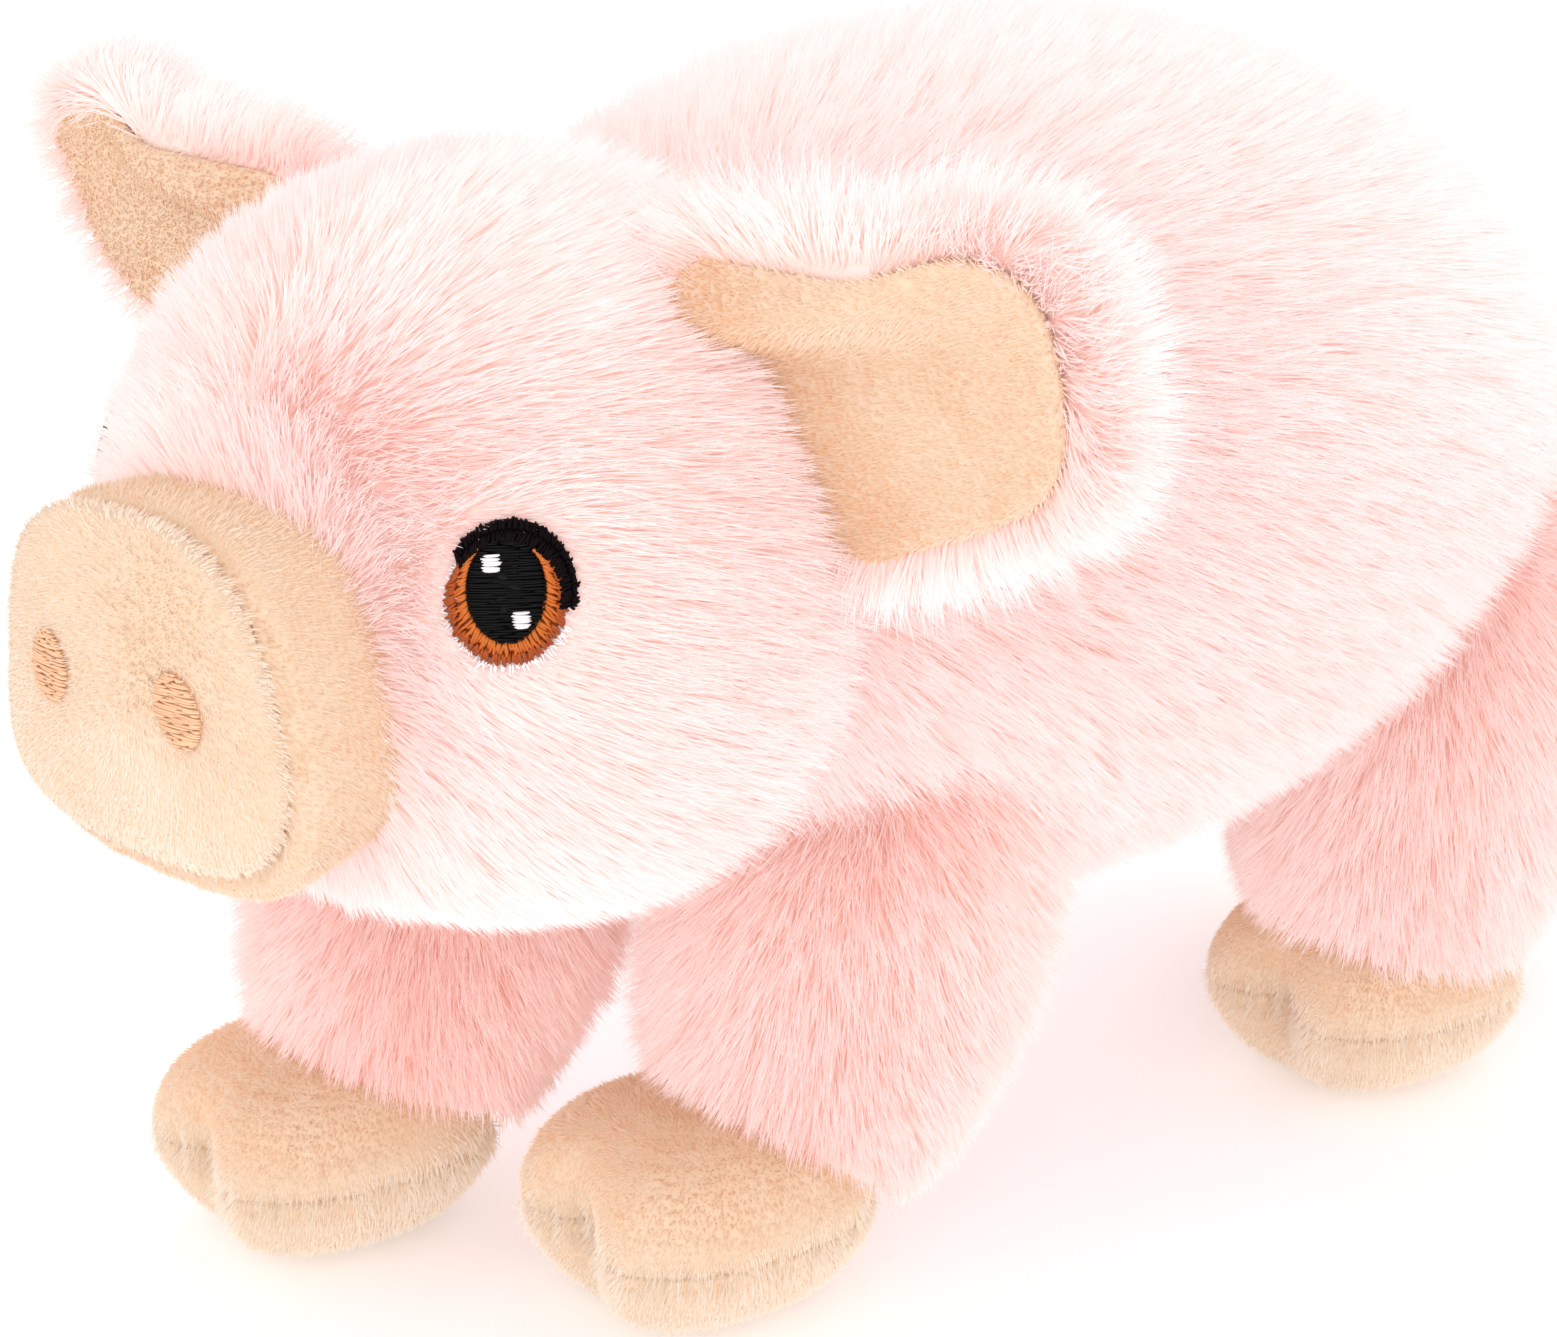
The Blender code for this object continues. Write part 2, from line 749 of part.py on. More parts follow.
def build_eye(side_name, side, surface):
    place = EyePlace(side, surface)
    low = CLEARANCE
    high = CLEARANCE + THREAD_THICKNESS
    gap = 2 * CLEARANCE
    pupil_line = flat_ellipse(PUPIL_WIDTH, PUPIL_HEIGHT, ELLIPSE_POWER, THREAD_POINTS)
    pupil = [(x, y + PUPIL_RISE) for x, y in pupil_line]
    pad_object(
        f"eye_pupil_{side_name}",
        pupil,
        THREAD_RING_SHARES,
        lambda x, y: place.at(x, y, low),
        lambda x, y: place.at(x, y, high),
        BLACK_THREAD,
    )
    iris_in = arc(PUPIL_WIDTH + gap, PUPIL_HEIGHT + gap, (0, PUPIL_RISE), IRIS_ARC)
    iris_out = arc(IRIS_WIDTH, IRIS_HEIGHT, (0, 0), IRIS_ARC)
    strip_object(f"eye_iris_{side_name}", iris_in, iris_out, place, low, high, ORANGE_THREAD)

    lid_width = IRIS_WIDTH + gap
    lid_height = PUPIL_HEIGHT + 2 * PUPIL_RISE + gap
    lid_in = arc(lid_width, lid_height, (0, PUPIL_RISE / 2), LID_INNER_ARC)
    lid_middle = (LID_WIDTH / 4, LID_WIDTH / 4 + PUPIL_RISE / 2)
    lid_out = arc(lid_width + LID_WIDTH, lid_height + LID_WIDTH, lid_middle, LID_OUTER_ARC)
    strip_object(f"eye_lid_{side_name}", lid_in, lid_out, place, low, high, BROWN_THREAD)

    white_width = IRIS_WIDTH + gap
    white_height = IRIS_HEIGHT + gap
    white_in = arc(white_width, white_height, (0, 0), WHITE_INNER_ARC)
    white_out = arc(white_width + 2 * WHITE_WIDTH, white_height + 2 * WHITE_WIDTH, (0, 0), WHITE_OUTER_ARC)
    strip_object(f"eye_white_{side_name}", white_in, white_out, place, low, high, WHITE_THREAD)

    on_pupil = high + CLEARANCE
    glint = flat_ellipse(GLINT_WIDTH, GLINT_WIDTH, ELLIPSE_POWER, THREAD_POINTS // 2)
    for glint_name, (across_share, up_share) in GLINT_SHARES.items():
        centre = (across_share * IRIS_WIDTH, PUPIL_RISE + up_share * IRIS_HEIGHT)
        outline = [(x + centre[0], y + centre[1]) for x, y in glint]
        pad_object(
            f"eye_glint_{glint_name}_{side_name}",
            outline,
            THREAD_RING_SHARES[1:],
            lambda x, y: place.at(x, y, on_pupil),
            lambda x, y: place.at(x, y, on_pupil + GLINT_THICKNESS),
            WHITE_THREAD,
        )


# Ears


def rounded_outline(corners, radius, count):
    """A closed outline with rounded corners, as evenly spaced points."""
    path = []
    for at, corner in enumerate(corners):
        corner = np.array(corner)
        for other in (corners[at - 1], corners[(at + 1) % len(corners)]):
            way = np.array(other) - corner
            path.append((corner, corner + way / np.linalg.norm(way) * radius))
    line = []
    for at in range(0, len(path), 2):
        corner, first = path[at]
        last = path[at + 1][1]
        for s in np.linspace(0, 1, CORNER_POINTS):
            line.append((1 - s) ** 2 * first + 2 * s * (1 - s) * corner + s**2 * last)
    line.append(line[0])
    line = np.array(line)
    run = np.concatenate([[0], np.cumsum(np.linalg.norm(np.diff(line, axis=0), axis=1))])
    at = np.linspace(0, run[-1], count, endpoint=False)
    return [(np.interp(a, run, line[:, 0]), np.interp(a, run, line[:, 1])) for a in at]


class EarPlace:
    """The flat frame of an ear, seated on the head: out to the tip, up along the hinge, and its front."""

    def __init__(self, side, surface):
        middle = in_head(0, -HEAD_REACH, HEAD_MIDDLE_HEIGHT)
        hit, _, _, _ = surface.ray_cast(middle, head_direction(EAR_SEAT_SHARES, side))
        self.out = head_direction(EAR_OUT_SHARES, side)
        up = head_direction(EAR_UP_SHARES, side)
        self.up = (up - self.out * up.dot(self.out)).normalized()
        self.front = self.out.cross(self.up) * side
        self.hinge = hit + self.out * EAR_HINGE_PROUD

    def at(self, out, up, thickness_share, low, high):
        """A point of the cupped ear, at a share of the way through its thickness."""
        reach = min(1, max(0, out / EAR_LENGTH))
        cup = EAR_CUP * reach * ((2 * up / EAR_WIDTH) ** 2 + reach**2) / 2
        fullness = math.sin(math.pi / 2 * min(1, reach / EAR_FULL_SHARE))
        swell = EAR_ROOT_SHARE + (1 - EAR_ROOT_SHARE) * fullness
        depth = (low + (high - low) * thickness_share) * swell
        return self.hinge + self.out * out + self.up * up + self.front * (cup + depth)


def build_ear(side_name, side, surface, head_flap_room):
    place = EarPlace(side, surface)
    corners = [(out * EAR_LENGTH, up * EAR_WIDTH) for out, up in EAR_CORNER_SHARES]
    back_low, back_high = -EAR_BACK_THICKNESS, 0
    lining_low = CLEARANCE / EAR_ROOT_SHARE
    lining_high = lining_low + EAR_LINING_THICKNESS
    outline = rounded_outline(corners, EAR_CORNER, EAR_POINTS)
    centre = np.mean(outline, axis=0)
    inset = [tuple(centre + (np.array(p) - centre) * (1 - 2 * EAR_RIM / EAR_WIDTH)) for p in outline]
    pieces = []
    for name, line, low, high, finish in (
        (f"ear_back_{side_name}", outline, back_low, back_high, FUR),
        (f"ear_lining_{side_name}", inset, lining_low, lining_high, MINKY),
    ):
        ear = pad_object(
            name,
            line,
            EAR_RING_SHARES,
            lambda x, y: place.at(x, y, 0, low, high),
            lambda x, y: place.at(x, y, 1, low, high),
            finish,
        )
        boolean(ear, head_flap_room)
        move_origin(ear, place.hinge)
        pieces.append(ear)
    return place


def move_origin(obj, spot):
    obj.data.transform(Matrix.Translation(-spot))
    obj.location = spot


# Tail


def build_tail(body_room):
    """A tapered tube that leaves the rump and curls once round itself."""
    start = Vector((0, BODY_LENGTH / 2 - COVER_WALL, TAIL_HEIGHT))
    path = []
    for step in range(TAIL_STEPS + 1):
        share = step / TAIL_STEPS
        turn = 2 * math.pi * TAIL_TURNS * share
        loop = TAIL_LOOP * (1 - TAIL_TIGHTEN_SHARE * share)
        curl = Vector((math.sin(turn) * loop, TAIL_REACH * share, (1 - math.cos(turn)) * loop))
        path.append(start + curl)
    points = []
    turned = Vector((0, 0, 1)).rotation_difference(path[1] - path[0])
    before = path[1] - path[0]
    for at, spot in enumerate(path):
        ahead = path[min(at + 1, TAIL_STEPS)] - path[max(at - 1, 0)]
        turned = before.rotation_difference(ahead) @ turned
        before = ahead
        radius = TAIL_THICKNESS / 2 * (1 - TAIL_TAPER_SHARE * at / TAIL_STEPS)
        for side in range(TAIL_SIDES):
            angle = 2 * math.pi * side / TAIL_SIDES
            points.append(spot + turned @ Vector((math.cos(angle) * radius, math.sin(angle) * radius, 0)))
    faces = []
    for at in range(TAIL_STEPS):
        for side in range(TAIL_SIDES):
            after = (side + 1) % TAIL_SIDES
            low = at * TAIL_SIDES
            faces.append((low + side, low + after, low + TAIL_SIDES + after, low + TAIL_SIDES + side))
    faces.append(tuple(range(TAIL_SIDES)))
    faces.append(tuple(TAIL_STEPS * TAIL_SIDES + side for side in range(TAIL_SIDES)))
    boolean(add_object("tail", points, faces, MINKY), body_room)


def surface_of(form):
    return BVHTree.FromPolygons(form_points(form, 0), ring_faces(form.rings - 1, form.sides))


def centre_on_origin():
    """Moves the stand so that the pig's box is centred over the origin."""
    bpy.context.view_layer.update()
    graph = bpy.context.evaluated_depsgraph_get()
    low, high = np.full(3, np.inf), np.full(3, -np.inf)
    for obj in bpy.data.objects:
        if obj.type != "MESH" or obj.hide_render:
            continue
        evaluated = obj.evaluated_get(graph)
        corners = np.array([evaluated.matrix_world @ Vector(c) for c in evaluated.bound_box])
        low, high = np.minimum(low, corners.min(axis=0)), np.maximum(high, corners.max(axis=0))
    STAND.location = (-(low[0] + high[0]) / 2, -(low[1] + high[1]) / 2, 0)
    bpy.context.view_layer.update()
    print("box", np.round((high - low) * 1000, 2), "stand", np.round(np.array(STAND.location) * 1000, 3))


def main():
    bore = neck_bore()
    body_room = form_object("body_room", body_form(), CLEARANCE)
    head_room = form_object("head_room", head_form(), CLEARANCE)
    flap_room = form_object("flap_room", head_form(), FLAP_CLEARANCE)
    build_body(bore)
    build_head(bore, body_room)
    build_snout(head_room)
    surface = surface_of(head_form())
    ears = []
    for side_name, side in (("left", 1), ("right", -1)):
        build_eye(side_name, side, surface)
        ears.append(build_ear(side_name, side, surface, flap_room))
    for leg in legs():
        build_leg(leg, (body_room, head_room) if leg.name.startswith("front") else (body_room,))
    build_tail(body_room)
    centre_on_origin()
    for ear in ears:
        print("ear hinge", [round(v, 5) for v in ear.hinge + STAND.location])
        print("ear axis", [round(v, 5) for v in ear.up])
    for leg in legs():
        print(leg.name, "hoof", [round(v, 5) for v in leg.hoof + STAND.location])


clear_scene()
STAND = bpy.data.objects.new("pig_stand", None)
bpy.context.scene.collection.objects.link(STAND)
main()
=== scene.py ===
# %% [markdown]
# A plush pig, dressed.
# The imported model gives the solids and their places. This lesson covers them with what the eye sees: skins of
# pile fabric, combed fur, short minky pile and embroidery thread. The first lines load the model as a fixed frame.

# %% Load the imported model
import math
from typing import NamedTuple

import bmesh
import bpy
import numpy as np
from mathutils import Matrix, Vector
from mathutils.bvhtree import BVHTree


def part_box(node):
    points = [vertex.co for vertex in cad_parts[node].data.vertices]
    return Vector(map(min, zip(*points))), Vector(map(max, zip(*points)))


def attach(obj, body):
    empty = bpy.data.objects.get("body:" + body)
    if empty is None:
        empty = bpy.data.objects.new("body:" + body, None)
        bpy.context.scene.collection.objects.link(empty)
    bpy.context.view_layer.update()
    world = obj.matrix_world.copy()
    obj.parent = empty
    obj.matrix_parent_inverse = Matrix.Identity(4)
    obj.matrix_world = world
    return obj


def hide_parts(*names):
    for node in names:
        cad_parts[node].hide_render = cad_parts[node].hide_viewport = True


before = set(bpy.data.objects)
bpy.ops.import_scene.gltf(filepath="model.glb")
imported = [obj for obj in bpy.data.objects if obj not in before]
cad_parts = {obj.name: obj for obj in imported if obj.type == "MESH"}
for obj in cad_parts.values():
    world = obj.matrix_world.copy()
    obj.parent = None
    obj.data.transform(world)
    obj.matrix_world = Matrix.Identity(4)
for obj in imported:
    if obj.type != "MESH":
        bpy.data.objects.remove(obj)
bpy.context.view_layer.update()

MM = 0.001

# %% [markdown]
# Two helpers do most of the typing. One adds a node to any tree, fills its inputs and links them. The other turns
# a colour picked from a paint chart (sRGB hex) into the linear numbers that a shader needs.

# %% Nodes and colours


def node(tree, kind, inputs=None, **settings):
    """Adds a node with its settings. An input takes a value, a socket, or a node's first output."""
    made = tree.nodes.new(kind)
    for key, value in settings.items():
        setattr(made, key, value)
    for key, value in (inputs or {}).items():
        if isinstance(value, bpy.types.Node):
            value = value.outputs[0]
        if isinstance(value, bpy.types.NodeSocket):
            tree.links.new(value, made.inputs[key])
        else:
            made.inputs[key].default_value = value
    return made


def linear(hex_colour):
    """sRGB hex to linear RGBA."""
    channels = [int(hex_colour[at:at + 2], 16) / 255 for at in (1, 3, 5)]
    return tuple(c / 12.92 if c <= 0.04045 else ((c + 0.055) / 1.055) ** 2.4 for c in channels) + (1.0,)


# %% [markdown]
# The toy is seen from its front left and a little above, close enough for the snout to look larger than the rump.
# The camera aims at a spot over the stand's middle. Its shift is only a few pixels down, to frame the hooves.

# %% Camera at the photograph's angle

AZIMUTH, ELEVATION = math.radians(56), math.radians(18.45)
FOCAL_PIXELS, IMAGE_WIDTH = 3436, 1557
DISTANCE = 481 * MM
ASIDE = -4.05 * MM
DOWN_PIXELS = 26
body_low, body_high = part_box("body_cover")
STAND = Vector(((body_low.x + body_high.x) / 2, (body_low.y + body_high.y) / 2, 0))
AIM = STAND + Vector((0, -33 * MM, 80 * MM))

right_way = Vector((math.cos(AZIMUTH), math.sin(AZIMUTH), 0))
level_way = Vector((-math.sin(AZIMUTH), math.cos(AZIMUTH), 0))
look = level_way * math.cos(ELEVATION) - Vector((0, 0, math.sin(ELEVATION)))
camera = bpy.data.objects.new("camera", bpy.data.cameras.new("camera"))
bpy.context.scene.collection.objects.link(camera)
camera.location = AIM + right_way * ASIDE - look * DISTANCE
camera.rotation_mode = "QUATERNION"
camera.rotation_quaternion = look.to_track_quat("-Z", "Y")
camera.data.sensor_width = 36
camera.data.lens = FOCAL_PIXELS / IMAGE_WIDTH * camera.data.sensor_width
camera.data.shift_y = -DOWN_PIXELS / IMAGE_WIDTH
camera.data.clip_start, camera.data.clip_end = 0.01, 50
bpy.context.scene.camera = camera
print("camera at, mm:", [round(v / MM) for v in camera.location])

# %% [markdown]
# Pale fur is photographed in a white studio, where light comes from everywhere. A dome does most of it, brighter
# at the horizon than overhead, so that flanks and cheeks get as much light as the back. A large low lamp in front
# of the toy on its left side is the key, and a weak one behind it draws the rim. The floor is white acrylic, lit
# from below, which lifts the chin and the belly. Four bounces are enough, because fibres cast no shadow here.

# %% Lights

STUDIO_BOUNCES = 4
bpy.context.scene.view_settings.view_transform = "Standard"
bpy.context.scene.cycles.diffuse_bounces = STUDIO_BOUNCES


def area_light(name, spot, size, power, colour):
    """A square soft light that faces the middle of the toy."""
    lamp = bpy.data.lights.new(name, "AREA")
    lamp.size = size
    lamp.energy = power
    lamp.color = linear(colour)[:3]
    made = bpy.data.objects.new(name, lamp)
    bpy.context.scene.collection.objects.link(made)
    made.location = spot
    made.rotation_mode = "QUATERNION"
    made.rotation_quaternion = (AIM - Vector(spot)).to_track_quat("-Z", "Y")


area_light("key_light", (1.05, -0.85, 0.45), 1.2, 5.2, "#FFFAF8")
area_light("rim_light", (-0.9, 0.7, 0.9), 0.9, 2, "#F8F6FF")

ZENITH_LIGHT, HORIZON_LIGHT = 0.7, 1.3
world = bpy.data.worlds.new("white_dome")
world.use_nodes = True
dome = world.node_tree
sky_way = node(dome, "ShaderNodeTexCoord").outputs["Generated"]
height = node(dome, "ShaderNodeSeparateXYZ", {0: sky_way}).outputs["Z"]
strength = node(dome, "ShaderNodeMapRange", {"Value": height, "To Min": HORIZON_LIGHT, "To Max": ZENITH_LIGHT})
dome.nodes["Background"].inputs["Color"].default_value = linear("#FFFBFC")
dome.links.new(strength.outputs[0], dome.nodes["Background"].inputs["Strength"])
bpy.context.scene.world = world
print("dome light from", ZENITH_LIGHT, "overhead to", HORIZON_LIGHT, "at the horizon")

# %% Floor

# A lit acrylic sheet has no grain: the eye gets an even white with a faint soft shadow under each hoof.
FLOOR_HALF, FLOOR_GLOW = 6.0, 0.25
floor_paint = bpy.data.materials.new("backlit_white_acrylic")
floor_paint.use_nodes = True
floor_shader = floor_paint.node_tree.nodes["Principled BSDF"].inputs
floor_shader["Base Color"].default_value = linear("#FBFCFD")
floor_shader["Roughness"].default_value = 0.9
floor_shader["Emission Color"].default_value = linear("#FBFCFF")
floor_shader["Emission Strength"].default_value = FLOOR_GLOW
floor_mesh = bpy.data.meshes.new("floor")
floor_corners = [(x * FLOOR_HALF, y * FLOOR_HALF, 0) for x, y in ((-1, -1), (1, -1), (1, 1), (-1, 1))]
floor_mesh.from_pydata(floor_corners, [], [(0, 1, 2, 3)])
floor_mesh.materials.append(floor_paint)
floor = bpy.data.objects.new("floor", floor_mesh)
bpy.context.scene.collection.objects.link(floor)
print("floor:", 2 * FLOOR_HALF, "m square")

# %% [markdown]
# Every stuffed form is a loft: rings of points along a line, wider or narrower by a table of shares, with ends
# rounded by a superellipse. The same tables shaped the solids, so the skins fit them; here they have many more
# rings, because a skin has to look smooth close up.

# %% Stuffed forms


class Form(NamedTuple):
    """A stuffed form from start to end. Each row of shares: place, width, height, rise of the middle."""

    start: Vector
    end: Vector
    across: Vector
    upward: Vector
    width: float
    height: float
    shares: tuple
    end_power: float
    round_power: float


def superellipse(share, power):
    """How wide a rounded form is at a share from -1 to 1 of its length: a power of 2 gives a circle."""
    return np.maximum(0, 1 - np.abs(share) ** power) ** (1 / power)


def signed_power(value, power):
    """A power that keeps the sign."""
    return np.sign(value) * np.abs(value) ** power


def shares_at(table, place):
    """The table's shares at places from 0 to 1, on a smooth curve through its rows."""
    rows = np.array(table)
    place = np.atleast_1d(place)
    at = np.clip(np.searchsorted(rows[:, 0], place) - 1, 0, len(rows) - 2)
    slopes = np.gradient(rows[:, 1:], rows[:, 0], axis=0)
    step = (rows[at + 1, 0] - rows[at, 0])[:, None]
    s = (place[:, None] - rows[at, 0][:, None]) / step
    return (
        (2 * s**3 - 3 * s**2 + 1) * rows[at, 1:]
        + (s**3 - 2 * s**2 + s) * step * slopes[at]
        + (3 * s**2 - 2 * s**3) * rows[at + 1, 1:]
        + (s**3 - s**2) * step * slopes[at + 1]
    )


def form_grid(form, grow, rings, sides):
    """Points of the form, offset outwards by grow: an array of rings by sides. Both ends are poles."""
    axis = form.end - form.start
    middle = np.array((form.start + form.end) / 2)
    half = np.array(axis.normalized()) * (axis.length / 2 + grow)
    along = -np.cos(np.pi * np.arange(rings + 1) / rings)
    width, height, rise = shares_at(form.shares, (along + 1) / 2).T
    round_share = superellipse(along, form.end_power)
    angle = 2 * np.pi * (np.arange(sides) + 0.5) / sides
    u = signed_power(np.cos(angle), 2 / form.round_power)
    v = signed_power(np.sin(angle), 2 / form.round_power)
    across = np.array(form.across)
    upward = np.array(form.upward)
    centre = middle + along[:, None] * half + (form.height * rise)[:, None] * upward
    wide = (form.width / 2 * width + grow) * round_share
    high = (form.height / 2 * height + grow) * round_share
    return (
        centre[:, None, :]
        + (wide[:, None] * u)[:, :, None] * across
        + (high[:, None] * v)[:, :, None] * upward
    )


def depth_in(form, points):
    """How deep each point lies in a form, roughly and in metres: negative outside."""
    axis = form.end - form.start
    middle = np.array((form.start + form.end) / 2)
    frame3 = np.array([np.array(axis.normalized()) * axis.length / 2, form.across, form.upward]).T
    along, u, v = np.linalg.inv(frame3) @ (points - middle).T
    held = np.clip(along, -1, 1)
    width, height, rise = shares_at(form.shares, (held + 1) / 2).T
    v = v - form.height * rise
    power = form.round_power
    reach = (
        np.abs(u / (form.width / 2 * width)) ** power + np.abs(v / (form.height / 2 * height)) ** power
    ) ** (1 / power)
    radius = min(form.width, form.height) / 2
    return (superellipse(held, form.end_power) - reach) * radius - (np.abs(along) - np.abs(held)) * axis.length


# %% Mesh from a grid


def grid_mesh(name, grid):
    """A closed mesh from rings of points. The first and the last ring each become one point, the poles."""
    rings, sides = grid.shape[:2]
    points = np.concatenate([[grid[0].mean(axis=0)], grid[1:-1].reshape(-1, 3), [grid[-1].mean(axis=0)]])
    faces = []
    for low in range(1, 1 + (rings - 3) * sides, sides):
        for side in range(sides):
            after = (side + 1) % sides
            faces.append((low + side, low + sides + side, low + sides + after, low + after))
    last = len(points) - 1
    for side in range(sides):
        after = (side + 1) % sides
        faces.append((0, 1 + side, 1 + after))
        faces.append((last, last - sides + after, last - sides + side))
    mesh = bpy.data.meshes.new(name)
    mesh.from_pydata(points.tolist(), [], faces)
    shape = bmesh.new()
    shape.from_mesh(mesh)
    bmesh.ops.recalc_face_normals(shape, faces=shape.faces)
    shape.to_mesh(mesh)
    shape.free()
    mesh.shade_smooth()
    return mesh


def mesh_arrays(mesh):
    """The mesh's points and their normals."""
    points = np.empty(len(mesh.vertices) * 3)
    mesh.vertices.foreach_get("co", points)
    normals = np.empty(len(mesh.vertices) * 3, np.float32)
    mesh.vertex_normals.foreach_get("vector", normals)
    return points.reshape(-1, 3), normals.reshape(-1, 3).astype(float)


def finish_piece(name, mesh, body, nodes=(), material=None):
    """A finished piece: it rides on a body, takes a material and stands for its solids."""
    if material:
        mesh.materials.clear()
        mesh.materials.append(material)
    made = bpy.data.objects.new(name, mesh)
    bpy.context.scene.collection.objects.link(made)
    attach(made, body)
    if nodes:
        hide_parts(*nodes)
    print(f"{name}: {len(mesh.polygons)} faces")
    return made


# %% [markdown]
# The forms of this pig: a body, a head turned 13.5 degrees to its left, a snout and four legs in a walking
# stance. Lengths are in millimetres from the stand's middle, times MM.

# %% The pig's forms

HEAD_TURN = math.radians(13.5)
NECK_AHEAD, HEAD_REACH, HEAD_MIDDLE_HEIGHT = 54.6 * MM, 35.5 * MM, 107 * MM
HEAD_LENGTH, HEAD_WIDTH, HEAD_HEIGHT = 90 * MM, 95 * MM, 97.5 * MM
BODY_LENGTH, BODY_WIDTH, BODY_HEIGHT, BELLY_HEIGHT = 188 * MM, 118 * MM, 118.5 * MM, 44.5 * MM
HEAD_PLACE = (
    Matrix.Translation(STAND) @ Matrix.Translation((0, -NECK_AHEAD, 0)) @ Matrix.Rotation(HEAD_TURN, 4, "Z")
)


def in_head(x, y, z):
    return HEAD_PLACE @ Vector((x, y, z))


def head_way(x, y, z):
    return (HEAD_PLACE.to_3x3() @ Vector((x, y, z))).normalized()


body_middle = STAND + Vector((0, 0, BELLY_HEIGHT + BODY_HEIGHT / 2))
BODY = Form(
    body_middle - Vector((0, BODY_LENGTH / 2, 0)),
    body_middle + Vector((0, BODY_LENGTH / 2, 0)),
    Vector((1, 0, 0)),
    Vector((0, 0, 1)),
    BODY_WIDTH,
    BODY_HEIGHT,
    (
        (0.0, 0.90, 0.92, -0.050), (0.25, 0.97, 0.97, -0.005), (0.5, 1.0, 1.0, 0.0),
        (0.7, 0.97, 0.925, 0.012), (1.0, 0.84, 0.79, -0.008),
    ),
    2.3,
    2.15,
)
HEAD = Form(
    in_head(0, HEAD_LENGTH / 2 - HEAD_REACH, HEAD_MIDDLE_HEIGHT),
    in_head(0, -HEAD_LENGTH / 2 - HEAD_REACH, HEAD_MIDDLE_HEIGHT),
    head_way(1, 0, 0),
    Vector((0, 0, 1)),
    HEAD_WIDTH,
    HEAD_HEIGHT,
    ((0.0, 0.86, 0.88, -0.01), (0.3, 1.0, 0.98, 0.0), (0.6, 1.02, 1.0, 0.0), (1.0, 0.95, 0.96, 0.0)),
    2.25,
    2.15,
)
LEG_SHARES = ((0.0, 0.96, 0.96, 0.0), (0.3, 0.96, 0.96, 0.0), (0.65, 1.0, 1.0, 0.0), (1.0, 0.74, 0.74, 0.0))
THIGH_WIDTH, HIP_HEIGHT, CUFF_HEIGHT = 52 * MM, 98.5 * MM, 9 * MM


class Leg(NamedTuple):
    """A leg's form and the place of its hoof on the floor."""

    form: Form
    hoof: Vector


def leg(side, track, hip_track, hoof_y, ankle_y, hip_y):
    """A leg of one side, from its three places along the body in millimetres."""
    ankle = STAND + Vector((side * track / 2, ankle_y, 0)) * MM + Vector((0, 0, CUFF_HEIGHT))
    hip = STAND + Vector((side * hip_track / 2, hip_y, 0)) * MM + Vector((0, 0, HIP_HEIGHT))
    form = Form(ankle, hip, Vector((1, 0, 0)), Vector((0, -1, 0)), THIGH_WIDTH, THIGH_WIDTH, LEG_SHARES, 3.2, 2.15)
    return Leg(form, STAND + Vector((side * track / 2, hoof_y, 0)) * MM)


LEGS = {
    "front_left": leg(1, 47, 47, -66.95, -50.0, -33.0),
    "front_right": leg(-1, 47, 47, -99.45, -88.0, -68.0),
    "rear_left": leg(1, 41, 58, 58.0, 61.45, 66.5),
    "rear_right": leg(-1, 41, 58, 98.0, 96.95, 74.5),
}
for name, made in LEGS.items():
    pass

# %% [markdown]
# The hoof is a low superellipse whose outline is pinched at the front, most at the height of the sole's seam.

# %% Hoof form

HOOF_LENGTH, HOOF_WIDTH, HOOF_HEIGHT, HOOF_SEAM = 47.5 * MM, 43 * MM, 29 * MM, 14 * MM
HOOF_END_POWER, HOOF_ROUND_POWER, HOOF_FLAT = 2.6, 2.4, 0.5 * MM
CLEFT_DEPTH, CLEFT_RISE, CLEFT_TURN = 8 * MM, 9.5 * MM, 2 * math.pi * 0.052


def hoof_depth(spot, points):
    """How deep each point lies in a hoof, roughly: negative outside."""
    x, y, z = (points - np.array(spot)).T
    along = np.clip((z + HOOF_FLAT) / (HOOF_HEIGHT / 2) - 1, -1, 1)
    power = HOOF_ROUND_POWER
    reach = (np.abs(2 * x / HOOF_WIDTH) ** power + np.abs(2 * y / HOOF_LENGTH) ** power) ** (1 / power)
    above = np.maximum(0, z - HOOF_HEIGHT + HOOF_FLAT)
    return (superellipse(along, HOOF_END_POWER) - reach) * HOOF_WIDTH / 2 - above


# %% [markdown]
# Two kinds of thing repeat on this toy by the thousand: strands of pile and stitches of thread. Geometry Nodes
# make both. A tree is built here with named inputs, and run on a mesh that carries what the tree reads as
# attributes of its points. The result is kept as a plain mesh, because a finished piece has no live modifier.

# %% Build and run a tree

SOCKET_KINDS = {"Seed": "Int", "Material": "Material", "Skin": "Geometry", "Stitches": "Geometry"}
WORK_LAYERS = ("tone", "along", "comb", "pile", "shade", "thick", "row", "run", "up")
UV_EDGE = 0.02


def new_tree(name, inputs):
    """An empty tree with named inputs and one output, the finished geometry."""
    tree = bpy.data.node_groups.new(name, "GeometryNodeTree")
    for given in inputs:
        kind = "NodeSocket" + SOCKET_KINDS.get(given, "Float")
        tree.interface.new_socket(name=given, in_out="INPUT", socket_type=kind)
    tree.interface.new_socket(name="Finished", in_out="OUTPUT", socket_type="NodeSocketGeometry")
    return tree


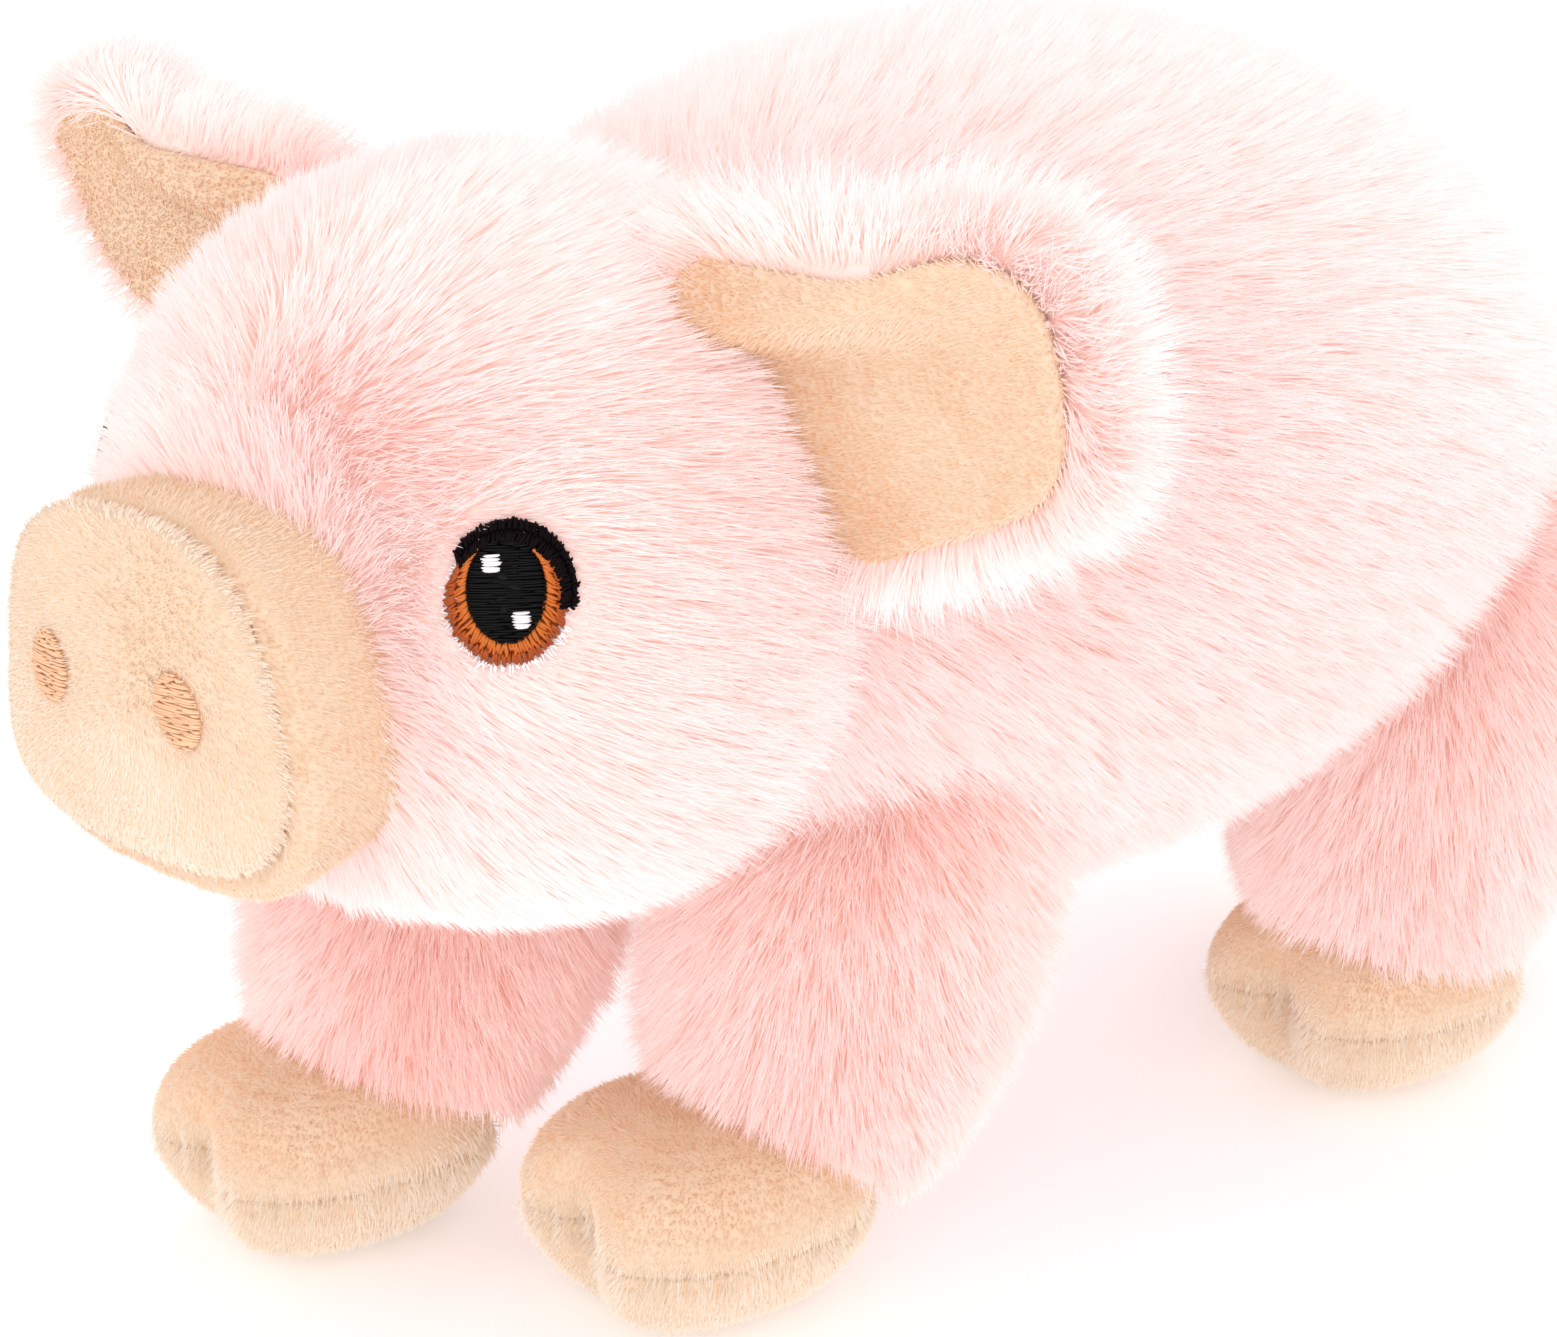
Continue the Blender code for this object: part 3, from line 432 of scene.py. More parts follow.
def finish_tree(tree, geometry, material, smooth):
    """Ends a tree: tone and place along go into the UV map that the materials read, then shading and material."""
    held = []
    for name in ("tone", "along"):
        read = node(tree, "GeometryNodeInputNamedAttribute", {"Name": name}, data_type="FLOAT")
        held.append(node(tree, "ShaderNodeClamp", {"Value": read, "Min": UV_EDGE, "Max": 1 - UV_EDGE}))
    spot = node(tree, "ShaderNodeCombineXYZ", {0: held[0], 1: held[1]})
    mapped = node(
        tree, "GeometryNodeStoreNamedAttribute", {"Geometry": geometry, "Name": "OFBake", "Value": spot},
        data_type="FLOAT2", domain="CORNER",
    )
    shaded = node(tree, "GeometryNodeSetShadeSmooth", {"Geometry": mapped, "Shade Smooth": smooth})
    worn = node(tree, "GeometryNodeSetMaterial", {"Geometry": shaded, "Material": material})
    node(tree, "NodeGroupOutput", {0: worn})


def run_tree(tree, name, mesh, **values):
    """Runs a tree on a mesh and keeps what it makes as a plain mesh."""
    holder = bpy.data.objects.new(name + "_work", mesh)
    bpy.context.scene.collection.objects.link(holder)
    step = holder.modifiers.new(tree.name, "NODES")
    step.node_group = tree
    sockets = {s.name: s.identifier for s in tree.interface.items_tree if s.in_out == "INPUT"}
    for key, value in values.items():
        step[sockets[key.replace("_", " ").title()]] = value
    bpy.context.view_layer.update()
    graph = bpy.context.evaluated_depsgraph_get()
    made = bpy.data.meshes.new_from_object(holder.evaluated_get(graph), depsgraph=graph)
    made.name = name
    bpy.data.objects.remove(holder)
    for layer in [a.name for a in made.attributes if a.name in WORK_LAYERS]:
        made.attributes.remove(made.attributes[layer])
    return made


def set_values(mesh, name, values, kind="FLOAT"):
    """Stores one number or vector for each point of a mesh."""
    held = mesh.attributes.new(name, kind, "POINT")
    key = "value" if kind == "FLOAT" else "vector"
    held.data.foreach_set(key, np.asarray(values, np.float32).ravel())


# %% [markdown]
# Fur is the main finish. The tree scatters points on a skin and lays a tapered strand on each one, between the
# skin's normal and the comb direction that the skin carries. Noise swirls the comb, and a Voronoi pattern pulls
# neighbouring tips together into locks, which is what makes pile read as soft fabric and not as needles. Short
# strands on the same tree make minky, whose pile stands in knitted rows. Real fibres are about 0.04 mm thick and
# too fine to show, so a strand here is about eight times as thick, and there are fewer of them. Fibres let light
# through, so the strands cast no shadow, and their sides are shaded flat, which keeps the pile bright.

# %% Where the strands stand, and which way they point


def pile_places(tree, given):
    """Points on the skin, each with two lasting chances, the locks' pattern and the way its strand points."""
    kept = node(tree, "GeometryNodeInputNamedAttribute", {"Name": "thick"}, data_type="FLOAT")
    thick = node(tree, "ShaderNodeMath", {0: kept, 1: given["Density"]}, operation="MULTIPLY")
    scatter = node(
        tree, "GeometryNodeDistributePointsOnFaces",
        {"Mesh": given["Skin"], "Density": thick, "Seed": given["Seed"]}, distribute_method="RANDOM",
    )
    place = node(tree, "GeometryNodeInputPosition")
    normal = scatter.outputs["Normal"]
    index = node(tree, "GeometryNodeInputIndex")
    start = node(tree, "ShaderNodeMath", {0: given["Seed"], 1: 0.37}, operation="MULTIPLY")
    number = node(tree, "ShaderNodeMath", {0: index, 1: start}, operation="ADD")
    later = node(tree, "ShaderNodeMath", {0: number, 1: 0.5}, operation="ADD")
    chance = node(tree, "ShaderNodeTexWhiteNoise", {"W": number}, noise_dimensions="1D").outputs
    chance_again = node(tree, "ShaderNodeTexWhiteNoise", {"W": later}, noise_dimensions="1D").outputs

    finer = node(tree, "ShaderNodeMath", {0: 1.0, 1: given["Swirl Size"]}, operation="DIVIDE")
    noise = node(
        tree, "ShaderNodeTexNoise", {"Vector": place, "Scale": finer, "Detail": 2.0}, noise_dimensions="3D"
    )
    locks_finer = node(tree, "ShaderNodeMath", {0: 1.0, 1: given["Lock Size"]}, operation="DIVIDE")
    locks = node(
        tree, "ShaderNodeTexVoronoi", {"Vector": place, "Scale": locks_finer}, voronoi_dimensions="3D", feature="F1"
    ).outputs
    pull = node(tree, "ShaderNodeMath", {0: given["Lock Pull"], 1: given["Lock Size"]}, operation="DIVIDE")
    grey = (0.5, 0.5, 0.5)
    way = node(tree, "GeometryNodeInputNamedAttribute", {"Name": "comb"}, data_type="FLOAT_VECTOR")
    lift = node(tree, "ShaderNodeVectorMath", {0: normal, "Scale": given["Lift"]}, operation="SCALE")
    way = node(tree, "ShaderNodeVectorMath", {0: way, 1: lift}, operation="ADD")
    parts = []
    for source, middle, much in (
        (noise.outputs["Color"], grey, given["Swirl"]),
        (locks["Position"], place, pull),
        (chance["Color"], grey, given["Wildness"]),
    ):
        off = node(tree, "ShaderNodeVectorMath", {0: source, 1: middle}, operation="SUBTRACT")
        parts.append(node(tree, "ShaderNodeVectorMath", {0: off, "Scale": much}, operation="SCALE"))
    swirl, gathered, wild = parts
    way = node(tree, "ShaderNodeVectorMath", {0: way, 1: swirl}, operation="ADD")
    strays = node(tree, "ShaderNodeVectorMath", {0: gathered, 1: wild}, operation="ADD")
    way = node(tree, "ShaderNodeVectorMath", {0: way, 1: strays}, operation="ADD")
    upright = node(tree, "FunctionNodeAlignRotationToVector", {"Vector": way}, axis="Z")
    turned = node(
        tree, "FunctionNodeAlignRotationToVector", {"Rotation": upright, "Vector": normal}, axis="X", pivot_axis="Z"
    )
    return scatter.outputs["Points"], turned, chance, chance_again, locks


# %% How long, wide and pale each strand is


def strand_size(tree, given, chance, chance_again):
    """Width and length: both vary a little, and the rows of a knitted pile are lower in between."""
    fuller = node(tree, "ShaderNodeMath", {0: chance["Value"], 1: 0.6, 2: 0.7}, operation="MULTIPLY_ADD")
    wide = node(tree, "ShaderNodeMath", {0: given["Radius"], 1: fuller}, operation="MULTIPLY")
    taller = node(tree, "ShaderNodeMath", {0: chance_again["Value"], 1: 0.45, 2: 0.72}, operation="MULTIPLY_ADD")
    pile = node(tree, "GeometryNodeInputNamedAttribute", {"Name": "pile"}, data_type="FLOAT")
    long = node(tree, "ShaderNodeMath", {0: pile, 1: taller}, operation="MULTIPLY")
    row = node(tree, "GeometryNodeInputNamedAttribute", {"Name": "row"}, data_type="FLOAT")
    rows = node(tree, "ShaderNodeMath", {0: row, 1: given["Row Spacing"]}, operation="DIVIDE")
    turn = node(tree, "ShaderNodeMath", {0: rows, 1: 2 * math.pi}, operation="MULTIPLY")
    wave = node(tree, "ShaderNodeMath", {0: turn}, operation="COSINE")
    valley = node(tree, "ShaderNodeMath", {0: 1.0, 1: wave}, operation="SUBTRACT")
    depth = node(tree, "ShaderNodeMath", {0: given["Row Depth"], 1: 0.5}, operation="MULTIPLY")
    between = node(tree, "ShaderNodeMath", {0: valley, 1: depth}, operation="MULTIPLY")
    left = node(tree, "ShaderNodeMath", {0: 1.0, 1: between}, operation="SUBTRACT")
    long = node(tree, "ShaderNodeMath", {0: long, 1: left}, operation="MULTIPLY")
    return node(tree, "ShaderNodeCombineXYZ", {0: wide, 1: wide, 2: long})


def strand_tone(tree, given, chance_again, locks):
    """Tone from dark to light: the skin's shade, one chance for each strand and lock, and patches of 18 mm."""
    patch_scale, patch_strength = 55.0, 0.6
    place = node(tree, "GeometryNodeInputPosition")
    patch = node(
        tree, "ShaderNodeTexNoise", {"Vector": place, "Scale": patch_scale, "Detail": 3.0}, noise_dimensions="3D"
    )
    lock_tone = node(tree, "ShaderNodeSeparateXYZ", {0: locks["Color"]})
    own = node(tree, "ShaderNodeMath", {0: chance_again["Value"], 1: 0.5}, operation="SUBTRACT")
    shared = node(tree, "ShaderNodeMath", {0: lock_tone, 1: 0.5}, operation="SUBTRACT")
    mixed = node(tree, "ShaderNodeMath", {0: own, 1: shared}, operation="ADD")
    shade = node(tree, "GeometryNodeInputNamedAttribute", {"Name": "shade"}, data_type="FLOAT")
    tone = node(tree, "ShaderNodeMath", {0: mixed, 1: given["Spread"], 2: shade}, operation="MULTIPLY_ADD")
    patchy = node(tree, "ShaderNodeMath", {0: patch, 1: 0.5}, operation="SUBTRACT")
    return node(tree, "ShaderNodeMath", {0: patchy, 1: patch_strength, 2: tone}, operation="MULTIPLY_ADD")


# %% The pile tree


def pile_tree():
    """A strand is a cone of three sides with no bottom, which keeps how far up it each point is."""
    tree = new_tree("pile", (
        "Skin", "Density", "Radius", "Lift", "Lock Size", "Lock Pull", "Swirl Size", "Swirl", "Wildness", "Spread",
        "Row Spacing", "Row Depth", "Seed", "Material",
    ))
    given = node(tree, "NodeGroupInput").outputs
    points, turned, chance, chance_again, locks = pile_places(tree, given)
    cone = node(
        tree, "GeometryNodeMeshCone",
        {"Vertices": 3, "Side Segments": 1, "Radius Top": 0.0, "Radius Bottom": 1.0, "Depth": 1.0},
        fill_type="NONE",
    )
    place = node(tree, "GeometryNodeInputPosition")
    height = node(tree, "ShaderNodeSeparateXYZ", {0: place}).outputs["Z"]
    strand = node(
        tree, "GeometryNodeStoreNamedAttribute", {"Geometry": cone, "Name": "along", "Value": height},
        data_type="FLOAT", domain="POINT",
    )
    size = strand_size(tree, given, chance, chance_again)
    laid = node(
        tree, "GeometryNodeInstanceOnPoints", {"Points": points, "Instance": strand, "Rotation": turned, "Scale": size}
    )
    tone = strand_tone(tree, given, chance_again, locks)
    laid = node(
        tree, "GeometryNodeStoreNamedAttribute", {"Geometry": laid, "Name": "tone", "Value": tone},
        data_type="FLOAT", domain="INSTANCE",
    )
    whole = node(tree, "GeometryNodeRealizeInstances", {"Geometry": laid})
    finish_tree(tree, whole, given["Material"], smooth=False)
    return tree


PILE = pile_tree()
print("pile tree:", len(PILE.nodes), "nodes")

# %% Grow a pile on a skin


def grow_pile(name, skin, body, slot, material, seed, **sizes):
    """Runs the pile tree on a skin. The strands ride on a body and cast no shadow."""
    mesh = run_tree(PILE, name, skin, seed=seed, material=material, **sizes)
    finish_piece(name, mesh, body).visible_shadow = False


LONG_PILE = dict(
    density=4.6e6, radius=0.17 * MM, lift=1.0, lock_size=4.0 * MM, lock_pull=0.45, swirl_size=20 * MM, swirl=0.9,
    wildness=0.75, spread=0.16, row_spacing=1.0, row_depth=0.0,
)
SHORT_PILE = dict(
    density=4.2e6, radius=0.14 * MM, lift=1.0, lock_size=1.3 * MM, lock_pull=0.12, swirl_size=9 * MM, swirl=0.5,
    wildness=0.5, spread=0.24, row_spacing=1.3 * MM, row_depth=0.6,
)
print("strands on a square centimetre:", LONG_PILE["density"] / 1e4, "long,", SHORT_PILE["density"] / 1e4, "short")

# %% [markdown]
# Pile is not one colour. Light that goes in between the fibres comes back warmer, so a strand is painted deeper at
# its root, which is painted shade, and nearly white at its tip, and a faint painted glow stands in for the light
# scattered inside the pile. Each strand's UV map holds two numbers, its tone and the place along it, and the
# material mixes four colours by them.

# %% Pile material

# The glow is painted light: a faint emission that stands in for the light the fibres pass on to each other.
PILE_ROUGHNESS, PILE_SPECULAR, PILE_PAINTED_GLOW = 0.85, 0.25, 0.055


def pile_material(name, root_dark, root_light, tip_dark, tip_light, painted_glow):
    """Cut fibre, matt and translucent, with a faint painted glow for the light scattered inside the pile."""
    made = bpy.data.materials.new(name)
    made.use_nodes = True
    tree = made.node_tree
    shader = tree.nodes["Principled BSDF"].inputs
    where = node(tree, "ShaderNodeUVMap", uv_map="OFBake")
    parts = node(tree, "ShaderNodeSeparateXYZ", {0: where}).outputs
    way = node(tree, "ShaderNodeMapRange", {"Value": parts["Y"]}, interpolation_type="SMOOTHSTEP")
    root, tip = (
        node(tree, "ShaderNodeMix", {0: parts["X"], 6: linear(dark), 7: linear(light)}, data_type="RGBA").outputs[2]
        for dark, light in ((root_dark, root_light), (tip_dark, tip_light))
    )
    colour = node(tree, "ShaderNodeMix", {0: way, 6: root, 7: tip}, data_type="RGBA").outputs[2]
    tree.links.new(colour, shader["Base Color"])
    shader["Roughness"].default_value = PILE_ROUGHNESS
    shader["Specular IOR Level"].default_value = PILE_SPECULAR
    shader["Emission Color"].default_value = linear(painted_glow)
    shader["Emission Strength"].default_value = PILE_PAINTED_GLOW
    return made


# %% Ground material

# Cut fibre ends are 0.05 mm wide, which is too fine to show, so the grain is drawn ten times as coarse.
GRAIN, GRAIN_DEPTH = 0.5 * MM, 0.2 * MM


def ground_material(name, light, dark, patch):
    """The knitted ground under a pile: two shades in soft patches, with a fine grain of cut fibre ends."""
    made = bpy.data.materials.new(name)
    made.use_nodes = True
    tree = made.node_tree
    shader = tree.nodes["Principled BSDF"].inputs
    where = node(tree, "ShaderNodeTexCoord").outputs["Object"]
    patches = node(tree, "ShaderNodeTexNoise", {"Vector": where, "Scale": 1 / patch, "Detail": 4.0})
    colour = node(tree, "ShaderNodeMix", {0: patches, 6: linear(dark), 7: linear(light)}, data_type="RGBA")
    tree.links.new(colour.outputs[2], shader["Base Color"])
    grain = node(tree, "ShaderNodeTexNoise", {"Vector": where, "Scale": 1 / GRAIN, "Detail": 2.0})
    bump = node(tree, "ShaderNodeBump", {"Height": grain, "Distance": GRAIN_DEPTH, "Strength": 0.8})
    tree.links.new(bump.outputs[0], shader["Normal"])
    shader["Roughness"].default_value = 0.95
    shader["Sheen Weight"].default_value = 0.3
    return made


# %% The two fabrics

# Acrylic faux fur: matt fibres, pale pink to white, which read as a soft cloud, with painted shade at the roots
# for warmer depths and a painted salmon glow.
FUR_FIBRE = pile_material("acrylic_long_pile", "#FFD0C4", "#FFECE7", "#FFE5DF", "#FFFAFA", "#FFA898")
# Its knitted base is dyed salmon, and shows through as warmth where the pile parts.
FUR_GROUND = ground_material("salmon_knitted_ground", "#FFF0EC", "#FFE0D6", 9 * MM)
# Polyester minky: short dense pile, tan to cream, which reads as velvet with fine rows, with a painted orange glow.
MINKY_FIBRE = pile_material("polyester_minky_pile", "#E6BC96", "#EAE0D0", "#EED2B4", "#F2ECE2", "#FFAA66")
# Its base is a shade paler than the pile, so that the rows stay soft.
MINKY_GROUND = ground_material("tan_minky_ground", "#EEDCC6", "#E8C6A2", 6 * MM)
print("materials:", [m.name for m in (FUR_FIBRE, FUR_GROUND, MINKY_FIBRE, MINKY_GROUND)])

# %% [markdown]
# Every skin is made the same way: a grid of the form, a few millimetres under the outside of its solid, where the
# pile has its roots. Its points carry the comb, the pile's length and shade, and how thick it grows. The comb is
# laid flat on the skin without making it longer, so pile stands up where two ways of combing meet.

# %% Skins with pile

FUR_RINGS, FUR_SIDES = 60, 88
ROOT_DEPTH = 3 * MM


def smooth_step(value, low, high):
    """From 0 at low to 1 at high, with soft ends."""
    s = np.clip((value - low) / (high - low), 0, 1)
    return s * s * (3 - 2 * s)


def directions(vectors):
    """The vectors, each one metre long."""
    return vectors / np.maximum(np.linalg.norm(vectors, axis=1), 1e-6)[:, None]


def same_way(points, x, y, z):
    """One vector for every point."""
    return np.tile((float(x), float(y), float(z)), (len(points), 1))


def skin_mesh(name, grid, comb, pile, shade, bare, row=None):
    """A skin and what the pile tree reads. The rest are functions of points and normals; bare pile is not grown."""
    mesh = grid_mesh(name, grid)
    points, normals = mesh_arrays(mesh)
    way = comb(points, normals)
    flat = way - normals * np.sum(way * normals, axis=1)[:, None]
    set_values(mesh, "comb", flat, "FLOAT_VECTOR")
    for layer, values in (("row", row), ("pile", pile), ("shade", shade)):
        if values:
            set_values(mesh, layer, values(points, normals))
    set_values(mesh, "thick", 1 - np.asarray(bare(points, normals), float))
    return mesh


def dress(name, skin, fur, pile, seed, body, nodes):
    """Grows the pile of one whole skin, then finishes the skin itself with its ground."""
    fibre, ground, slot, sizes = fur
    grow_pile(pile, skin.copy(), body, slot, fibre, seed, **sizes)
    finish_piece(name, skin, body, nodes, ground)


LONG_FUR = (FUR_FIBRE, FUR_GROUND, "pink_fur", LONG_PILE)
MINKY = (MINKY_FIBRE, MINKY_GROUND, "tan_minky", SHORT_PILE)
print("pile roots lie", ROOT_DEPTH / MM, "mm under the solids' outside")

# %% [markdown]
# The body is combed back and a little down, as a hand strokes it. Its pile is shorter below, where a toy is clipped
# so that it stands well, and its tone is a little deeper on the chest and the belly: painted shade, under the head
# and the body. No fur grows where the head or a leg is sewn on. The fur is kept in four quarters, so that no single
# mesh gets too heavy.

# %% Body fur

BODY_PILE, BELLY_CLIPPED = 10 * MM, 2.5 * MM


def body_comb(points, normals):
    back = same_way(points, 0, 1, -0.45)
    back[:, 2] -= 0.5 * np.clip(normals[:, 1], 0, 1)
    return back


def body_pile(points, normals):
    return BODY_PILE - BELLY_CLIPPED * smooth_step(-normals[:, 2], 0.0, 0.8)


def body_shade(points, normals):
    # Painted shade: deeper where the skin faces down, and towards the chest under the head.
    under = smooth_step(-normals[:, 2], -0.2, 0.8)
    chest = smooth_step(-(points[:, 1] - STAND.y), 30 * MM, 75 * MM)
    return 0.94 - 0.1 * np.maximum(under, chest * 0.7)


def body_bare(points, normals):
    inside = depth_in(HEAD, points)
    for made in LEGS.values():
        inside = np.maximum(inside, depth_in(made.form, points))
    return smooth_step(inside, 1 * MM, 5 * MM)


def zone(mesh, name, keep):
    """A copy of a skin with only the faces whose middles are kept."""
    made = mesh.copy()
    made.name = name
    shape = bmesh.new()
    shape.from_mesh(made)
    gone = [f for f in shape.faces if not keep(f.calc_center_median())]
    bmesh.ops.delete(shape, geom=gone, context="FACES")
    shape.to_mesh(made)
    shape.free()
    return made


body_grid = form_grid(BODY, -ROOT_DEPTH, FUR_RINGS, FUR_SIDES)
body_skin = skin_mesh("body_skin", body_grid, body_comb, body_pile, body_shade, body_bare)
quarters = [(end, side) for end in ("front", "rear") for side in ("left", "right")]
for at, (end, side) in enumerate(quarters):
    name = f"body_fur_{end}_{side}"
    quarter = zone(
        body_skin, name, lambda p: (p.x >= STAND.x) == (side == "left") and (p.y >= STAND.y) == (end == "rear")
    )
    grow_pile(name, quarter, "pig", "pink_fur", FUR_FIBRE, 11 + at, **LONG_PILE)
finish_piece("body_skin", body_skin, "pig", ("body_cover",), FUR_GROUND)

# %% [markdown]
# An eye's place on the head is found by looking out from the head's middle. Its surroundings are clipped short,
# and the skin comes up to the surface there, so that the embroidery lies on cloth and not on loose pile.

# %% Places on the head

HEAD_CENTRE = np.array(in_head(0, -HEAD_REACH, HEAD_MIDDLE_HEIGHT))
HEAD_AXES = np.array(HEAD_PLACE.to_3x3())
SNOUT_WAY = np.array(head_way(0, -0.98, -0.196))
EYE_SEATS = {side: head_way(0.772 * side, -0.626, 0.131) for side in (1, -1)}

probe = grid_mesh("probe", form_grid(HEAD, 0, FUR_RINGS, FUR_SIDES))
HEAD_SURFACE = BVHTree.FromPolygons([v.co for v in probe.vertices], [tuple(p.vertices) for p in probe.polygons])
bpy.data.meshes.remove(probe)
EYES = {}
for side, seat in EYE_SEATS.items():
    spot, normal, _, _ = HEAD_SURFACE.ray_cast(Vector(HEAD_CENTRE), seat)
    EYES[side] = (spot, normal if normal.dot(seat) > 0 else -normal)


def eye_distance(points):
    """How far each point is from the nearer eye's middle."""
    return np.min([np.linalg.norm(points - np.array(EYES[side][0]), axis=1) for side in EYES], axis=0)


print("eyes apart, mm:", round((EYES[1][0] - EYES[-1][0]).length / MM, 1))

# %% [markdown]
# Fur on the muzzle stands away from the snout like a ruff. Everywhere else it sweeps back and down, flatter on
# the face than behind it, so that the strands are seen from their side and look bright.

# %% Head fur

FACE_PILE, NAPE_PILE, EYE_PILE = 7.5 * MM, 2 * MM, 2.2 * MM
EYE_CLIPPED, EYE_EDGE, EYE_BLEND = 8.4 * MM, 7.6 * MM, 7 * MM


def head_unit(points):
    """The way from the head's middle to each point, in the head's own axes."""
    return directions(points - HEAD_CENTRE) @ HEAD_AXES


def off_snout(points):
    """The cosine of the angle between each point and the snout, seen from the head's middle."""
    return directions(points - HEAD_CENTRE) @ SNOUT_WAY


def head_comb(points, normals):
    away = points - HEAD_CENTRE
    away = directions(away - (away @ SNOUT_WAY)[:, None] * SNOUT_WAY)
    angle = np.arccos(np.clip(off_snout(points), -1, 1))
    ruff = 1 - smooth_step(angle, math.radians(34), math.radians(50))
    unit = head_unit(points)
    back = np.stack([0.3 * np.sign(unit[:, 0]), np.ones(len(unit)), np.full(len(unit), -0.3)], axis=1) @ HEAD_AXES.T
    flatter = 1 + 1.2 * smooth_step(-unit[:, 1], -0.3, 0.5)
    return ruff[:, None] * away * 1.8 + ((1 - ruff) * flatter)[:, None] * back


def head_pile(points, normals):
    whole = FACE_PILE + NAPE_PILE * smooth_step(head_unit(points)[:, 1], -0.4, 0.4)
    return EYE_PILE + (whole - EYE_PILE) * smooth_step(eye_distance(points), EYE_CLIPPED, EYE_CLIPPED + EYE_BLEND)


def head_shade(points, normals):
    """Paler round the snout, deeper on the brow, and painted shade under the chin and at the roots of the ears."""
    ruff = smooth_step(off_snout(points), 0.66, 0.76)
    under = smooth_step(-normals[:, 2], 0.2, 0.9)
    way = directions(points - HEAD_CENTRE)
    by_ear = np.max([way @ np.array(head_way(0.90 * side, 0.0, 0.44)) for side in (1, -1)], axis=0)
    root = smooth_step(by_ear, math.cos(math.radians(30)), math.cos(math.radians(14)))
    unit = head_unit(points)
    brow = smooth_step(unit[:, 2] + 0.5 * unit[:, 1], -0.25, 0.1) * smooth_step(-unit[:, 1], 0.1, 0.45)
    return 0.9 + 0.06 * ruff - 0.1 * under - 0.06 * root - 0.1 * brow


def head_bare(points, normals):
    inside = smooth_step(depth_in(BODY, points), 1 * MM, 5 * MM)
    snout = smooth_step(off_snout(points), math.cos(math.radians(30)), math.cos(math.radians(26)))
    eyes = 1 - smooth_step(eye_distance(points), EYE_EDGE, EYE_EDGE + 1 * MM)
    return np.maximum(np.maximum(inside, snout), eyes)


head_grid = form_grid(HEAD, -ROOT_DEPTH, FUR_RINGS, FUR_SIDES)
outer_grid = form_grid(HEAD, -0.6 * MM, FUR_RINGS, FUR_SIDES)
near_eye = 1 - smooth_step(eye_distance(outer_grid.reshape(-1, 3)), 8 * MM, 17 * MM)
head_grid = head_grid + (outer_grid - head_grid) * near_eye.reshape(head_grid.shape[:2])[:, :, None]
head_skin = skin_mesh("head_skin", head_grid, head_comb, head_pile, head_shade, head_bare)
HEAD_FUR = dict(LONG_PILE, density=5.2e6, lock_size=3.4 * MM)
for at, (name, side) in enumerate((("head_fur_left", 1), ("head_fur_right", -1))):
    half = zone(head_skin, name, lambda p: side * ((np.array(p) - HEAD_CENTRE) @ HEAD_AXES)[0] >= 0)
    grow_pile(name, half, "pig", "pink_fur", FUR_FIBRE, 21 + at, **HEAD_FUR)
finish_piece("head_skin", head_skin, "pig", ("head_cover",), FUR_GROUND)

# %% [markdown]
# Leg fur hangs down and falls over the top of the hoof. Its tone is painted shade: the legs stand under the body,
# so they are deeper than it and deepest at the top, and the front legs are deeper still, in the shade of the head.

# %% Leg fur

# How far painted shade deepens each leg's tone.
LEG_PAINTED_SHADE = {"front_left": 0.5, "front_right": 0.3, "rear_left": 0.6, "rear_right": 0.6}
CUFF_PILE, THIGH_PILE = 5 * MM, 4 * MM
for at, (name, made) in enumerate(LEGS.items()):

    def leg_bare(points, normals):
        inside = np.maximum(depth_in(BODY, points), hoof_depth(made.hoof, points) + 5 * MM)
        if name.startswith("front"):
            inside = np.maximum(inside, depth_in(HEAD, points))
        return smooth_step(inside, 1 * MM, 4 * MM)

    leg_skin = skin_mesh(
        f"{name}_leg_skin", form_grid(made.form, -ROOT_DEPTH, 40, 48),
        lambda points, normals: same_way(points, 0, 0, -1) + 0.25 * normals,
        lambda points, normals: CUFF_PILE + THIGH_PILE * smooth_step(points[:, 2], 24 * MM, 45 * MM),
        lambda points, normals: LEG_PAINTED_SHADE[name] + 0.16 * (1 - smooth_step(points[:, 2], 25 * MM, 70 * MM)),
        leg_bare,
    )
    dress(
        f"{name}_leg_skin", leg_skin, LONG_FUR, f"{name}_leg_fur", 31 + at, "pig", (f"{name}_leg_cover",)
    )

# %% [markdown]
# A hoof is sewn from two pieces of minky, an upper and a sole. Gathers run along the seam between them, the upper
# swells over it in a roll, and puckers fan out from the cleft between the two toes, which is creased sharply.

# %% Hoof surface

HOOF_SKIN_DEPTH = 0.8 * MM
GATHER_COUNT, PUCKER_COUNT = 31, 42


def near(offset, width):
    """A soft bump, 1 where the offset is 0."""
    return np.exp(-((offset / width) ** 2))


